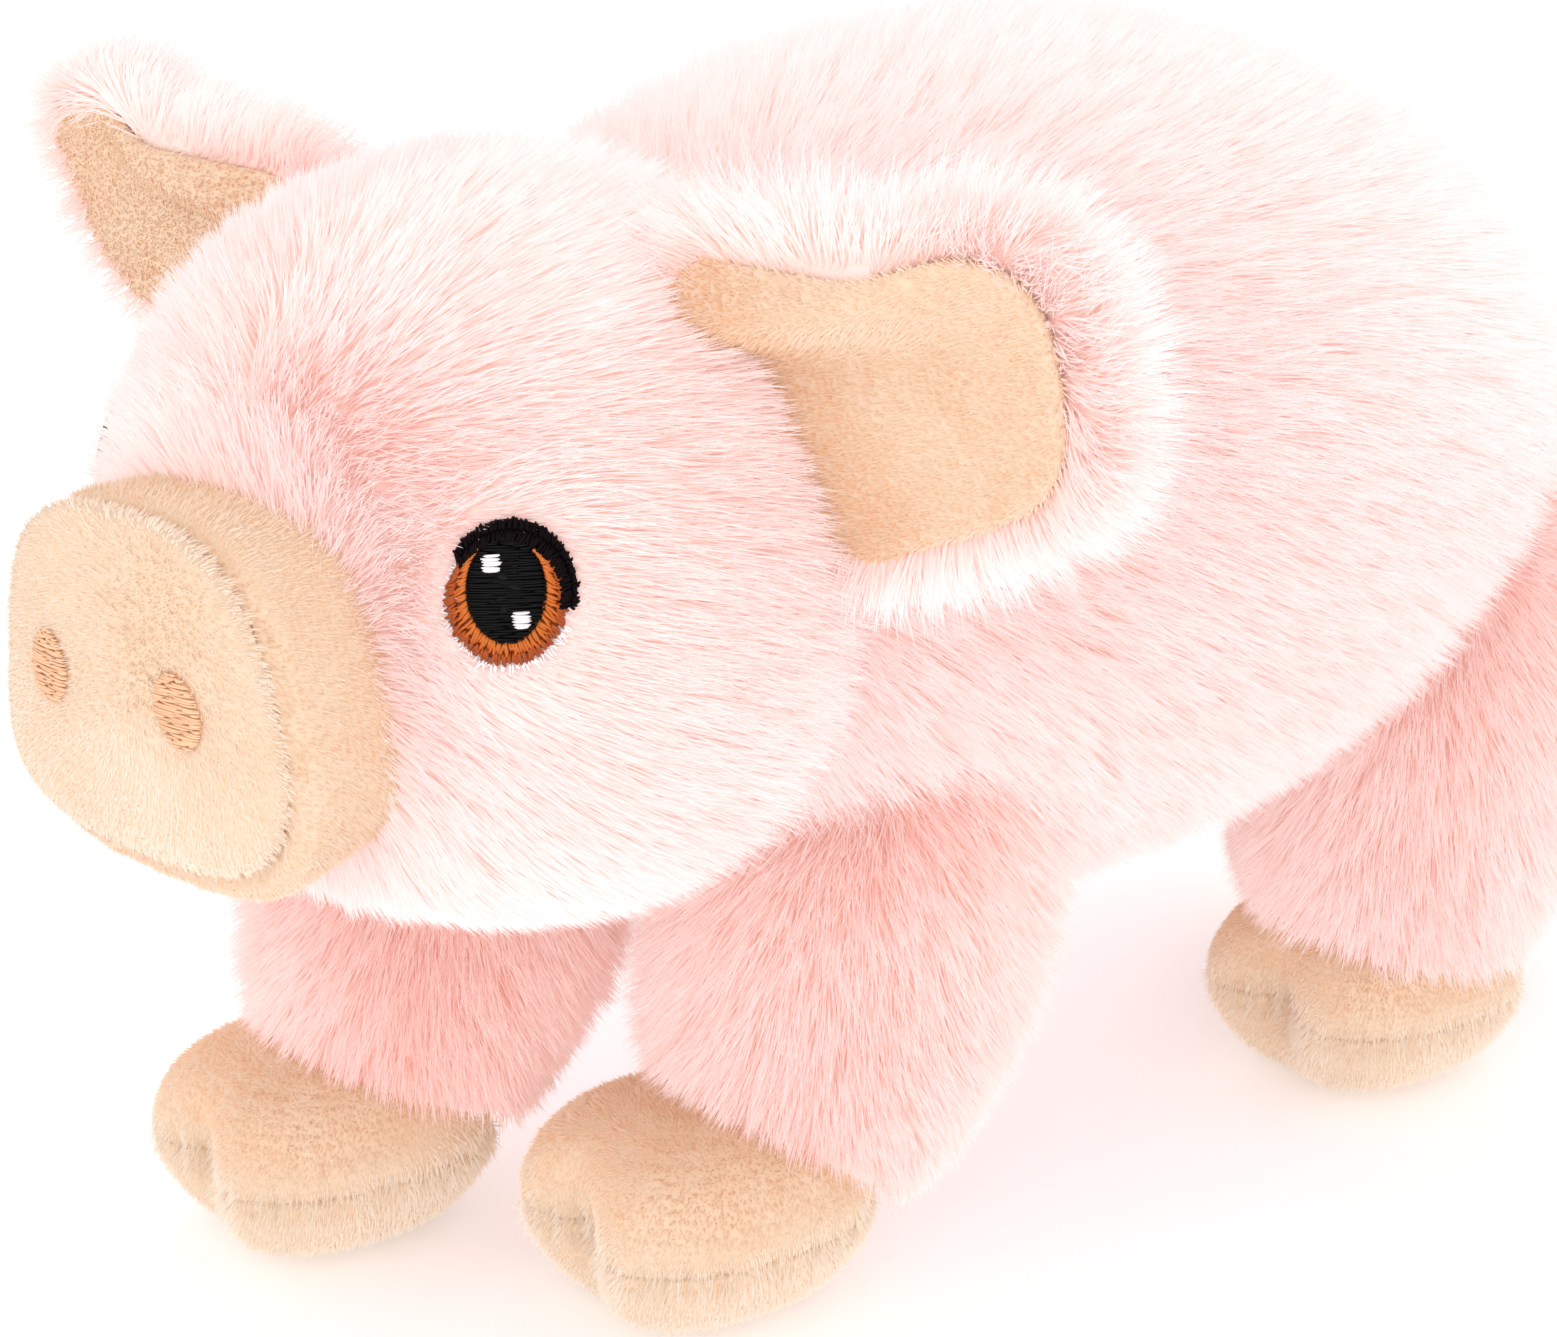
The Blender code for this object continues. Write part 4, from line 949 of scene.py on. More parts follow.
def hoof_grid(spot, rings, sides):
    """The solid's form with gathers and puckers at the seam and a sharp crease in the cleft."""
    along = -np.cos(np.pi * np.arange(rings + 1) / rings)[:, None]
    angle = (2 * np.pi * np.arange(sides) / sides)[None, :]
    turn = np.remainder(angle + np.pi, 2 * np.pi) - np.pi
    height = (along + 1) * HOOF_HEIGHT / 2
    above = height - HOOF_SEAM
    groove = 0.1 * MM * near(above, 0.8 * MM)
    roll = 0.5 * MM * near(above - 3.0 * MM, 2.2 * MM)
    gathers = 0.3 * MM * np.sin(angle * GATHER_COUNT + 2.1 * np.sin(angle * 7)) * near(above, 4 * MM)
    under = 2.5 * MM * np.clip(-above / HOOF_SEAM, 0, 1) ** 1.5
    inset = HOOF_SKIN_DEPTH + groove - roll + gathers + under
    pinch = (CLEFT_DEPTH - 1 * MM) * near(above, CLEFT_RISE) * near(turn, CLEFT_TURN)
    crease = 1.2 * MM * near(above, 7 * MM) * near(turn, 0.09)
    puckers = 0.8 * MM * np.sin(turn * PUCKER_COUNT) * near(turn, 0.55) * near(above, 3.5 * MM)
    round_share = superellipse(along, HOOF_END_POWER)
    x = signed_power(np.sin(angle), 2 / HOOF_ROUND_POWER) * (HOOF_WIDTH / 2 - inset) * round_share
    y = -signed_power(np.cos(angle), 2 / HOOF_ROUND_POWER) * (HOOF_LENGTH / 2 - inset) * round_share
    z = np.maximum(height - HOOF_FLAT, 0) + 0 * angle
    return np.stack([x, y + pinch + crease + puckers, z], axis=2) + np.array(spot)


# %% [markdown]
# The seam is where the pile is longest, because the machine leaves its edge uncut. Above the seam the minky is
# painted darker and warmer towards the fur cuff: painted shade under the leg's fur. The rows of the knitted pile go
# round the hoof, one every 1.3 mm, a little coarser than the real ones, which would be lost at this size.

# %% Hooves

HOOF_RINGS, HOOF_SIDES = 72, 128
HOOF_PILE, SEAM_PILE = 1.3 * MM, 1.5 * MM


def over_seam(points):
    return points[:, 2] - HOOF_SEAM + HOOF_FLAT


for at, (name, made) in enumerate(LEGS.items()):
    whole = hoof_grid(made.hoof, HOOF_RINGS, HOOF_SIDES)
    seam_ring = int(np.argmin(np.abs(whole[:, 0, 2] - HOOF_SEAM + HOOF_FLAT)))
    middle = np.broadcast_to(whole[seam_ring].mean(axis=0), whole[seam_ring].shape)
    upper = np.concatenate([[middle], whole[seam_ring:]])
    sole = np.concatenate([whole[:seam_ring + 1], [middle]])
    for part, grid, node_name in (("upper", upper, "hoof"), ("sole", sole, "sole")):
        # The tone is painted shade: deeper above the seam, towards the fur cuff.
        skin = skin_mesh(
            f"{name}_hoof_{part}", grid, lambda points, normals: same_way(points, 0, -0.35, -1),
            lambda points, normals: HOOF_PILE + SEAM_PILE * near(over_seam(points) + 1 * MM, 2.5 * MM),
            lambda points, normals: 1.0 - 0.62 * smooth_step(over_seam(points), 0.0, 9 * MM),
            lambda points, normals: (depth_in(made.form, points) > 3 * MM) | (points[:, 2] < 1.2 * MM),
            lambda points, normals: points[:, 2] * 1.1,
        )
        dress(
            f"{name}_hoof_{part}", skin, MINKY, f"{name}_{part}_pile", 41 + 2 * at, "pig", (f"{name}_{node_name}",),
        )

# %% [markdown]
# The snout is a band of minky with a domed face panel sewn into its front. The face sits a little high, so that
# the band shows below it as a lip. Seam allowance inside makes both edges roll, and the stitches gather them:
# that is the groove with small puckers that runs round the face. Both pieces are rings of points in the snout's
# own frame, and one function makes every ring.

# %% Snout frame

SNOUT_WIDTH, SNOUT_HEIGHT, SNOUT_DEPTH = 50 * MM, 47 * MM, 32 * MM
SNOUT_PAST_HEAD, SNOUT_MIDDLE_HEIGHT, SNOUT_TILT = 13 * MM, 98 * MM, math.radians(4)
FACE_WIDTH, FACE_HEIGHT, FACE_THICKNESS, FACE_DOME = 48.5 * MM, 43 * MM, 3 * MM, 2.2 * MM
FACE_LIFT, FACE_NARROWING, SNOUT_ROUND_POWER, SNOUT_LEAN = 2.5 * MM, 0.17, 3.0, 2.8 * MM
SEAM_ROLL = 0.3 * MM
SNOUT_RINGS, SNOUT_SIDES = 40, 160
snout_ahead = head_way(0, -math.cos(SNOUT_TILT), -math.sin(SNOUT_TILT))
snout_up = head_way(0, -math.sin(SNOUT_TILT), math.cos(SNOUT_TILT))
snout_across = head_way(1, 0, 0)
snout_tip = in_head(0, -HEAD_REACH - HEAD_LENGTH / 2 - SNOUT_PAST_HEAD, SNOUT_MIDDLE_HEIGHT)
SNOUT_FRONT = snout_tip - snout_ahead * (FACE_THICKNESS + FACE_DOME + SEAM_ROLL)
ACROSS, UPWARD, AHEAD = (np.array(v) for v in (snout_across, snout_up, snout_ahead))
snout_turn = 2 * np.pi * np.arange(SNOUT_SIDES) / SNOUT_SIDES
SNOUT_ROUND = [signed_power(f(snout_turn), 2 / SNOUT_ROUND_POWER) for f in (np.cos, np.sin)]
SNOUT_PUCKERS = np.sin(snout_turn * 34 + 1.7 * np.sin(snout_turn * 5)) * 0.6 + np.sin(snout_turn * 57 + 1) * 0.4


def snout_points(x, y, ahead):
    """Points by their place across, up and ahead of the band's front edge."""
    x, y, ahead = (np.asarray(v)[..., None] for v in (x, y, ahead))
    return np.array(SNOUT_FRONT) + x * ACROSS + y * UPWARD + ahead * AHEAD


def snout_ring(width, height, lift, ahead, narrowing=0.0, pucker=0.0):
    """A ring that may be narrower at the top and leans to the pig's right at the bottom."""
    x = SNOUT_ROUND[0] * width / 2
    y = SNOUT_ROUND[1] * height / 2
    x = x * (1 - narrowing * 2 * y / FACE_HEIGHT) - SNOUT_LEAN * np.clip(-2 * y / FACE_HEIGHT, 0, 1.2) ** 1.5
    return snout_points(x, y + lift, ahead + 0 * x) + pucker * SNOUT_PUCKERS[:, None] * AHEAD


print("snout front at, mm:", [round(v / MM, 1) for v in SNOUT_FRONT])

# %% Band and face

SNOUT_SHARES = ((0.0, 0.84), (0.4, 0.95), (0.8, 1.01), (1.0, 1.0))
POLE = 0.1 * MM
band_rings = [snout_ring(POLE, POLE, 0, -SNOUT_DEPTH)]
for share in np.linspace(0, 1, SNOUT_RINGS) ** 0.8:
    behind = SNOUT_DEPTH * (1 - share)
    size = np.interp(share, *np.array(SNOUT_SHARES).T)
    rolled = 1.5 * MM * near(behind, 1.2 * MM) - 0.5 * MM * near(behind - 3.2 * MM, 2.2 * MM)
    width, height = SNOUT_WIDTH * size - 2 * rolled, SNOUT_HEIGHT * size - 2 * rolled
    pucker = 0.35 * MM * np.exp(-behind / (2.5 * MM))
    band_rings.append(snout_ring(width, height, 0, -behind, FACE_NARROWING * 0.8 * share, pucker))
band_rings.append(
    snout_ring(FACE_WIDTH * 0.93, FACE_HEIGHT * 0.93, FACE_LIFT * 0.5, -0.9 * MM, FACE_NARROWING * 0.5)
)
band_rings.append(snout_ring(POLE, POLE, 0, -1.2 * MM))

FACE_CROWN = FACE_THICKNESS + SEAM_ROLL
face_rings = [snout_ring(POLE, POLE, FACE_LIFT, 0)]
for turn in np.linspace(0, np.pi / 2, 16):
    edge = 1 - 0.055 * (1 - math.sin(turn))
    ahead = (FACE_THICKNESS + 0.6 * MM) * (1 - math.cos(turn)) - 0.9 * MM
    pucker = SEAM_ROLL * math.cos(turn) ** 0.5 if turn < 1.5 else 0.0
    face_rings.append(
        snout_ring(
            FACE_WIDTH * edge, FACE_HEIGHT * edge, FACE_LIFT, ahead * 0.75 + SEAM_ROLL, FACE_NARROWING, pucker
        )
    )
rim_ahead = (FACE_THICKNESS - SEAM_ROLL) * 0.75 + SEAM_ROLL
for share in np.linspace(0, 1, 24)[1:-1]:
    inward = 1 - share
    rounding = 1 - (1 - min(1, share / 0.22)) ** 2
    ahead = rim_ahead + (FACE_CROWN - rim_ahead) * rounding + FACE_DOME * (1 - inward**2)
    face_rings.append(snout_ring(FACE_WIDTH * inward, FACE_HEIGHT * inward, FACE_LIFT, ahead, FACE_NARROWING))
face_rings.append(snout_ring(POLE, POLE, FACE_LIFT, FACE_CROWN + FACE_DOME))
print("snout rings:", len(band_rings), "in the band,", len(face_rings), "in the face")

# %% [markdown]
# The snout's pile is brushed away from its middle and down, and lies back along the band. The band is a little
# deeper in colour than the face, whose crown catches the light.

# %% Snout minky


band_rings = []
for share in np.linspace(0, 1, SNOUT_RINGS) ** 0.8:
    behind = SNOUT_DEPTH * (1 - share)
    size = np.interp(share, *np.array(SNOUT_SHARES).T)
    rolled = 1.5 * MM * np.exp(-(behind / (1.2 * MM)) ** 2) - 0.5 * MM * np.exp(-(((behind - 3.2 * MM) / (2.2 * MM)) ** 2))
    width, height = SNOUT_WIDTH * size - 2 * rolled, SNOUT_HEIGHT * size - 2 * rolled
    pucker = 0.35 * MM * np.exp(-behind / (2.5 * MM))
    band_rings.append(snout_ring(width, height, 0, -behind, FACE_NARROWING * 0.8 * share, pucker))
band_rings.append(snout_ring(FACE_WIDTH * 0.93, FACE_HEIGHT * 0.93, FACE_LIFT * 0.5, -0.9 * MM, FACE_NARROWING * 0.5))
band_rings.append(snout_ring(0.1 * MM, 0.1 * MM, 0, -1.2 * MM))
band_rings.insert(0, snout_ring(0.1 * MM, 0.1 * MM, 0, -SNOUT_DEPTH))
band_skin_grid = np.array(band_rings)

face_rings = [snout_ring(0.1 * MM, 0.1 * MM, FACE_LIFT, 0)]
for turn in np.linspace(0, np.pi / 2, 16):
    edge = 1 - 0.055 * (1 - math.sin(turn))
    ahead = (FACE_THICKNESS + 0.6 * MM) * (1 - math.cos(turn)) - 0.9 * MM
    # the edge rolls out from the groove and over to the front
    face_rings.append(
        snout_ring(
            FACE_WIDTH * edge, FACE_HEIGHT * edge, FACE_LIFT, ahead * 0.75 + 0.3 * MM, FACE_NARROWING,
            0.3 * MM * math.cos(turn) ** 0.5 if turn < 1.5 else 0.0,
        )
    )
rim_ahead = (FACE_THICKNESS - 0.3 * MM) * 0.75 + 0.3 * MM
for share in np.linspace(0, 1, 24)[1:-1]:
    inward = 1 - share
    rounding = 1 - (1 - min(1, share / 0.22)) ** 2
    ahead = rim_ahead + (FACE_THICKNESS + 0.3 * MM - rim_ahead) * rounding + FACE_DOME * (1 - inward**2)
    face_rings.append(
        snout_ring(FACE_WIDTH * inward, FACE_HEIGHT * inward, FACE_LIFT, ahead, FACE_NARROWING)
    )
face_rings.append(snout_ring(0.1 * MM, 0.1 * MM, FACE_LIFT, FACE_THICKNESS + 0.3 * MM + FACE_DOME))
face_skin_grid = np.array(face_rings)


def snout_comb(points, normals):
    away = points - np.array(SNOUT_FRONT)
    return directions(away - (away @ AHEAD)[:, None] * AHEAD) - 0.8 * AHEAD - 0.8 * UPWARD


def behind_front(points, normals):
    return (np.array(SNOUT_FRONT) - points) @ AHEAD


def up_face(points, normals):
    return (points - np.array(SNOUT_FRONT)) @ (UPWARD + 0.35 * ACROSS)


for name, rings, row, tone, seed in (
    ("snout_band", band_rings, behind_front, 0.5, 61), ("snout_face", face_rings, up_face, 0.85, 62)
):
    skin = skin_mesh(
        f"{name}_skin", np.array(rings), snout_comb, lambda points, normals: np.full(len(points), 1.3 * MM),
        lambda points, normals: np.full(len(points), tone),
        lambda points, normals: depth_in(HEAD, points) > 4 * MM, row,
    )
    dress(f"{name}_minky", skin, MINKY, f"{name}_pile", seed, "pig", (name,))

# %% [markdown]
# Embroidery is thread laid side by side over a backing, so it is built as that. A Geometry Nodes tree puts one
# thread on each stitch: it rises out of the cloth, runs over it and dives back in. Each point of the mesh is the
# start of a stitch, and carries the way it runs, the way up and its tone; a point of the backing has no run.
# Real thread is 0.25 mm thick. It is drawn half as thick again, so that single stitches show.

# %% The satin stitch tree

THREAD_RADIUS, THREAD_RISE = 0.19 * MM, 1.2


def satin_tree():
    tree = new_tree("satin_stitch", ("Stitches", "Thread Radius", "Rise", "Material"))
    given = node(tree, "NodeGroupInput").outputs
    # One thread, a metre long and one thick: it bows up and thins where it goes through the cloth
    tube = node(
        tree, "GeometryNodeMeshCone",
        {"Vertices": 4, "Side Segments": 5, "Radius Top": 1.0, "Radius Bottom": 1.0, "Depth": 1.0},
        fill_type="NONE",
    )
    position = node(tree, "GeometryNodeInputPosition")
    place = node(tree, "ShaderNodeSeparateXYZ", {0: position}).outputs
    kept = node(
        tree, "GeometryNodeStoreNamedAttribute", {"Geometry": tube, "Name": "along", "Value": place["Z"]},
        data_type="FLOAT", domain="POINT",
    )
    off_middle = node(tree, "ShaderNodeMath", {0: place["Z"], 1: 2.0, 2: -1.0}, operation="MULTIPLY_ADD")
    from_middle = node(tree, "ShaderNodeMath", {0: off_middle}, operation="ABSOLUTE")
    falling = node(tree, "ShaderNodeMath", {0: from_middle, 1: 4.0}, operation="POWER")
    thin = node(tree, "ShaderNodeMath", {0: falling, 1: -0.45, 2: 1.0}, operation="MULTIPLY_ADD")
    fall = node(tree, "ShaderNodeMath", {0: falling, 1: 1.6}, operation="MULTIPLY")
    above = node(tree, "ShaderNodeMath", {0: 1.0, 1: fall}, operation="SUBTRACT")
    bowed = node(tree, "ShaderNodeMath", {0: above, 1: given["Rise"]}, operation="MULTIPLY")
    x = node(tree, "ShaderNodeMath", {0: place["X"], 1: thin, 2: bowed}, operation="MULTIPLY_ADD")
    y = node(tree, "ShaderNodeMath", {0: place["Y"], 1: thin}, operation="MULTIPLY")
    shape = node(tree, "ShaderNodeCombineXYZ", {0: x, 1: y, 2: place["Z"]})
    thread = node(tree, "GeometryNodeSetPosition", {"Geometry": kept, "Position": shape})

    run, up = (
        node(tree, "GeometryNodeInputNamedAttribute", {"Name": name}, data_type="FLOAT_VECTOR")
        for name in ("run", "up")
    )
    long = node(tree, "ShaderNodeVectorMath", {0: run}, operation="LENGTH").outputs["Value"]
    turned = node(tree, "FunctionNodeAlignRotationToVector", {"Vector": run}, axis="Z")
    turned = node(
        tree, "FunctionNodeAlignRotationToVector", {"Rotation": turned, "Vector": up}, axis="X", pivot_axis="Z"
    )
    size = node(tree, "ShaderNodeCombineXYZ", {0: given["Thread Radius"], 1: given["Thread Radius"], 2: long})
    is_stitch = node(tree, "ShaderNodeMath", {0: long, 1: 0.0}, operation="GREATER_THAN")
    sewn = node(
        tree, "GeometryNodeInstanceOnPoints",
        {
            "Points": given["Stitches"], "Selection": is_stitch, "Instance": thread, "Rotation": turned,
            "Scale": size,
        },
    )
    whole = node(tree, "GeometryNodeRealizeInstances", {"Geometry": sewn})
    backing = node(tree, "GeometryNodeDeleteGeometry", {"Geometry": given["Stitches"], "Selection": is_stitch})
    joined = node(tree, "GeometryNodeJoinGeometry", {0: whole})
    tree.links.new(backing.outputs[0], joined.inputs[0])
    finish_tree(tree, joined, given["Material"], smooth=True)
    return tree


SATIN = satin_tree()
print("satin tree:", len(SATIN.nodes), "nodes")

# %% Sew stitches


def embroider(name, backing, stitches, material, nodes, radius=THREAD_RADIUS):
    """Sews stitches, each with a start, an end, an up and a tone, over a backing mesh."""
    starts, ends, ups, tones = (np.array(part, float) for part in zip(*stitches))
    shape = bmesh.new()
    shape.from_mesh(backing)
    backed = len(shape.verts)
    for spot in starts:
        shape.verts.new(spot)
    mesh = bpy.data.meshes.new(name)
    shape.to_mesh(mesh)
    shape.free()
    still = np.zeros((backed, 3))
    set_values(mesh, "run", np.concatenate([still, ends - starts]), "FLOAT_VECTOR")
    set_values(mesh, "up", np.concatenate([still, ups]), "FLOAT_VECTOR")
    set_values(mesh, "tone", np.concatenate([np.full(backed, 0.2), tones]))
    set_values(mesh, "along", np.full(len(mesh.vertices), 0.5))
    made = run_tree(SATIN, name, mesh, thread_radius=radius, rise=THREAD_RISE, material=material)
    print(f"{name}: {len(starts)} stitches")
    finish_piece(name, made, "pig", nodes)


# %% [markdown]
# Rayon thread is smooth and bright, but a filled shape of it looks darker between the rows. So a stitch's colour
# changes a little from one end to the other, and each stitch has its own strength. Black and dark brown thread
# have less gloss than the real ones, because the dome would turn them grey.

# %% Threads


def thread_material(name, first, last, roughness=0.5, specular=0.4):
    """Twisted rayon filament. Its colour runs from one end of a stitch to the other."""
    made = bpy.data.materials.new(name)
    made.use_nodes = True
    tree = made.node_tree
    shader = tree.nodes["Principled BSDF"].inputs
    where = node(tree, "ShaderNodeUVMap", uv_map="OFBake")
    parts = node(tree, "ShaderNodeSeparateXYZ", {0: where}).outputs
    ends = {0: parts["Y"], 6: linear(first), 7: linear(last)}
    colour = node(tree, "ShaderNodeMix", ends, data_type="RGBA").outputs[2]
    strength = node(tree, "ShaderNodeMapRange", {"Value": parts["X"], "To Min": 0.8, "To Max": 1.1})
    toned = node(tree, "ShaderNodeMix", {0: 1.0, 6: colour, 7: strength}, data_type="RGBA", blend_type="MULTIPLY")
    tree.links.new(toned.outputs[2], shader["Base Color"])
    shader["Roughness"].default_value = roughness
    shader["Specular IOR Level"].default_value = specular
    return made


# Black for the pupil: a deep hole in the face, with thin bright lines only where a thread faces a lamp.
BLACK_THREAD = thread_material("black_rayon_thread", "#08080A", "#060607", 0.5, 0.15)
# Two oranges for the iris: light spokes inside and rust ones outside make it glow round the pupil.
IRIS_THREAD = thread_material("orange_rayon_thread", "#D4762A", "#C05E18")
IRIS_RIM_THREAD = thread_material("rust_rayon_thread", "#B85416", "#A0460E")
# Dark brown for the lid, so that it stands apart from the pupil as a warmer, duller black.
LID_THREAD = thread_material("dark_brown_rayon_thread", "#0C0508", "#10070A", 0.6, 0.08)
# White for the glints and the arc below the iris: the brightest spots of the face.
WHITE_THREAD = thread_material("white_rayon_thread", "#F4F2F4", "#F8F7F8")
# Light rust for the nostrils, close to the minky, so that only the thread's shine and shadows draw them.
NOSTRIL_THREAD = thread_material("rust_light_rayon_thread", "#F6C49A", "#FACFAA")
print("threads:", [m.name for m in bpy.data.materials if "thread" in m.name])

# %% [markdown]
# A nostril is an oval pad filled with horizontal rows. Each row is split somewhere along it, as a machine does
# with long stitches, and its ends are a little uneven. All chances come from one generator with a fixed seed.

# %% Backings and rows

rng = np.random.default_rng(7)


def lens(outline, place, low, high, rings=6):
    """A backing for stitches: a closed low pad inside an outline, crowned in the middle."""
    outline = np.array(outline)
    centre = outline.mean(axis=0)
    shares = [0.01] + list(np.linspace(0, 1, rings)[1:])
    top = [[place(*(centre + (p - centre) * s), low + (high - low) * (1 - s**3)) for p in outline] for s in shares]
    bottom = [[place(*(centre + (p - centre) * s), low - 0.3 * MM) for p in outline] for s in reversed(shares)]
    return grid_mesh("backing", np.array(top + bottom))


def rows_across(width, height, power, spacing, middle, place, over, up, split=False):
    """Horizontal satin rows that fill an oval, with a little unevenness at both ends."""
    made = []
    count = int(height / spacing)
    for row in range(count):
        share = 2 * (row + 0.5) / count - 1
        y = share * height / 2
        half = width / 2 * max(0.0, 1 - abs(share) ** power) ** (1 / power)
        ends = [-half - rng.uniform(0, 0.25) * MM, half + rng.uniform(0, 0.25) * MM]
        if split:
            ends.insert(1, rng.uniform(-0.7, 0.7) * half)
        for a, b in zip(ends, ends[1:]):
            slope = rng.uniform(-0.5, 0.5) * spacing
            start = place(middle[0] + a, middle[1] + y, over)
            end = place(middle[0] + b, middle[1] + y + slope, over)
            made.append((start, end, up, rng.uniform(0.3, 1.0)))
    return made


# %% Nostrils

NOSTRIL_SPACING, NOSTRIL_WIDTH, NOSTRIL_HEIGHT, NOSTRIL_RISE = 24.2 * MM, 7.5 * MM, 9.4 * MM, 1 * MM
NOSTRIL_POWER, NOSTRIL_PAD, NOSTRIL_ROW = 1.8, 0.55 * MM, 0.33 * MM


def face_place(x, y, over):
    """A spot on the snout's face, over its surface."""
    spread = (2 * x / FACE_WIDTH) ** 2 + (2 * y / FACE_HEIGHT) ** 2
    narrow = 1 - FACE_NARROWING * 2 * y / FACE_HEIGHT
    return snout_points(x * narrow, y + FACE_LIFT, FACE_CROWN + FACE_DOME * (1 - spread) + over)


turn = 2 * np.pi * np.arange(40) / 40
for side_name, side in (("left", 1), ("right", -1)):
    middle = (side * NOSTRIL_SPACING / 2, NOSTRIL_RISE)
    across = middle[0] + NOSTRIL_WIDTH / 2 * signed_power(np.cos(turn), 2 / NOSTRIL_POWER)
    upward = middle[1] + NOSTRIL_HEIGHT / 2 * signed_power(np.sin(turn), 2 / NOSTRIL_POWER)
    backing = lens(np.stack([across, upward], axis=1), face_place, 0.1 * MM, NOSTRIL_PAD)
    stitches = rows_across(
        NOSTRIL_WIDTH, NOSTRIL_HEIGHT, NOSTRIL_POWER, NOSTRIL_ROW, middle, face_place, NOSTRIL_PAD, snout_ahead,
        split=True,
    )
    nodes = (f"nostril_{side_name}",)
    embroider(f"nostril_stitches_{side_name}", backing, stitches, NOSTRIL_THREAD, nodes)

# %% [markdown]
# An eye is sewn on a flat frame that lies on the head: x goes outwards from the snout, y goes up, and a spot's
# height is measured from the head's surface. Spokes are stitches between two ovals, with uneven outer ends, as a
# machine leaves them where it turns.

# %% Eye frame and spokes

IRIS_WIDTH, IRIS_HEIGHT, PUPIL_WIDTH, PUPIL_HEIGHT, PUPIL_RISE = (v * MM for v in (13.6, 14.4, 9.0, 12.2, 1.5))
LID_WIDTH, WHITE_WIDTH, GLINT_WIDTH = 2.6 * MM, 0.9 * MM, 2.0 * MM
ROUND = np.degrees(2 * np.pi * np.arange(48) / 48)
IRIS_OVAL = (IRIS_WIDTH, IRIS_HEIGHT, (0, 0))
PUPIL_OVAL = (PUPIL_WIDTH, PUPIL_HEIGHT, (0, PUPIL_RISE))
MIDDLE_OVAL = ((IRIS_WIDTH + PUPIL_WIDTH) / 2, (IRIS_HEIGHT + PUPIL_HEIGHT) / 2, (0, PUPIL_RISE / 2))


class EyePlace:
    """The flat frame of an eye, laid on the head."""

    def __init__(self, side):
        self.seat, normal = EYES[side]
        self.outward = (EYE_SEATS[side] + normal).normalized()
        self.across = Vector((0, 0, 1)).cross(self.outward).normalized() * side
        self.upward = self.outward.cross(self.across) * side

    def at(self, x, y, height):
        start = self.seat + self.across * x + self.upward * y + self.outward * 25 * MM
        hit, _, _, _ = HEAD_SURFACE.ray_cast(start, -self.outward)
        return np.array(hit + self.outward * height)


def oval(width, height, centre, degrees):
    angle = math.radians(degrees)
    return np.array((centre[0] + width / 2 * math.cos(angle), centre[1] + height / 2 * math.sin(angle)))


def scaled(share):
    """An oval round the iris."""
    return (IRIS_WIDTH * share, IRIS_HEIGHT * share, (0, 0))


def oval_pad(place, rim, low, high):
    return lens([oval(*rim, t) for t in ROUND], place.at, low, high)


def spokes(place, inner, outer, start, end, spacing, over, tones, ragged, lean=4):
    """Stitches between two ovals, from one angle to another, with uneven outer ends."""
    made = []
    count = int(math.radians(abs(end - start)) * (outer[0] + outer[1]) / 4 / spacing)
    for step in range(count):
        share = (step + rng.uniform(0.3, 0.7)) / count
        degrees = start + (end - start) * share
        a = oval(*inner, degrees + rng.uniform(-lean, lean))
        b = oval(*outer, degrees + rng.uniform(-lean, lean) / 2)
        b = b + (b - a) / np.linalg.norm(b - a) * rng.uniform(-0.3, 1.0) * ragged
        made.append((place.at(*a, over), place.at(*b, over), place.outward, rng.uniform(*tones)))
    return made


# %% [markdown]
# The pupil is filled with rows and lies a little high. The iris is two rounds of spokes: rust outside, orange
# inside, both open at the top, where the lid covers them.

# %% Pupil and iris

IRIS_START, IRIS_END = -235, 50


def sew_pupil(place, side_name):
    backing = oval_pad(place, PUPIL_OVAL, 0.2 * MM, 0.75 * MM)
    rows = rows_across(
        PUPIL_WIDTH, PUPIL_HEIGHT, 2, 0.3 * MM, (0, PUPIL_RISE), place.at, 0.7 * MM, place.outward, split=True
    )
    nodes = (f"eye_pupil_{side_name}",)
    embroider(f"pupil_stitches_{side_name}", backing, rows, BLACK_THREAD, nodes)


def sew_iris(place, side_name):
    nodes = (f"eye_iris_{side_name}",)
    rim = spokes(
        place, MIDDLE_OVAL, IRIS_OVAL, IRIS_START, IRIS_END, 0.24 * MM, 0.35 * MM, (0.25, 0.8), 0.5 * MM
    )
    backing = oval_pad(place, scaled(0.95), 0.05 * MM, 0.3 * MM)
    embroider(f"iris_outer_stitches_{side_name}", backing, rim, IRIS_RIM_THREAD, nodes)
    inner = spokes(
        place, PUPIL_OVAL, MIDDLE_OVAL, IRIS_START, IRIS_END, 0.27 * MM, 0.5 * MM, (0.5, 1.0), 0.9 * MM
    )
    backing = oval_pad(place, MIDDLE_OVAL, 0.1 * MM, 0.35 * MM)
    embroider(f"iris_inner_stitches_{side_name}", backing, inner, IRIS_THREAD, nodes)


# %% [markdown]
# The lid is a dark band over the top of the eye and down its outer side, sewn in two rounds of short spokes on a
# curved strip of backing. The strip is a grid too: its rings run across the band, and its ends are the poles.

# %% Lid

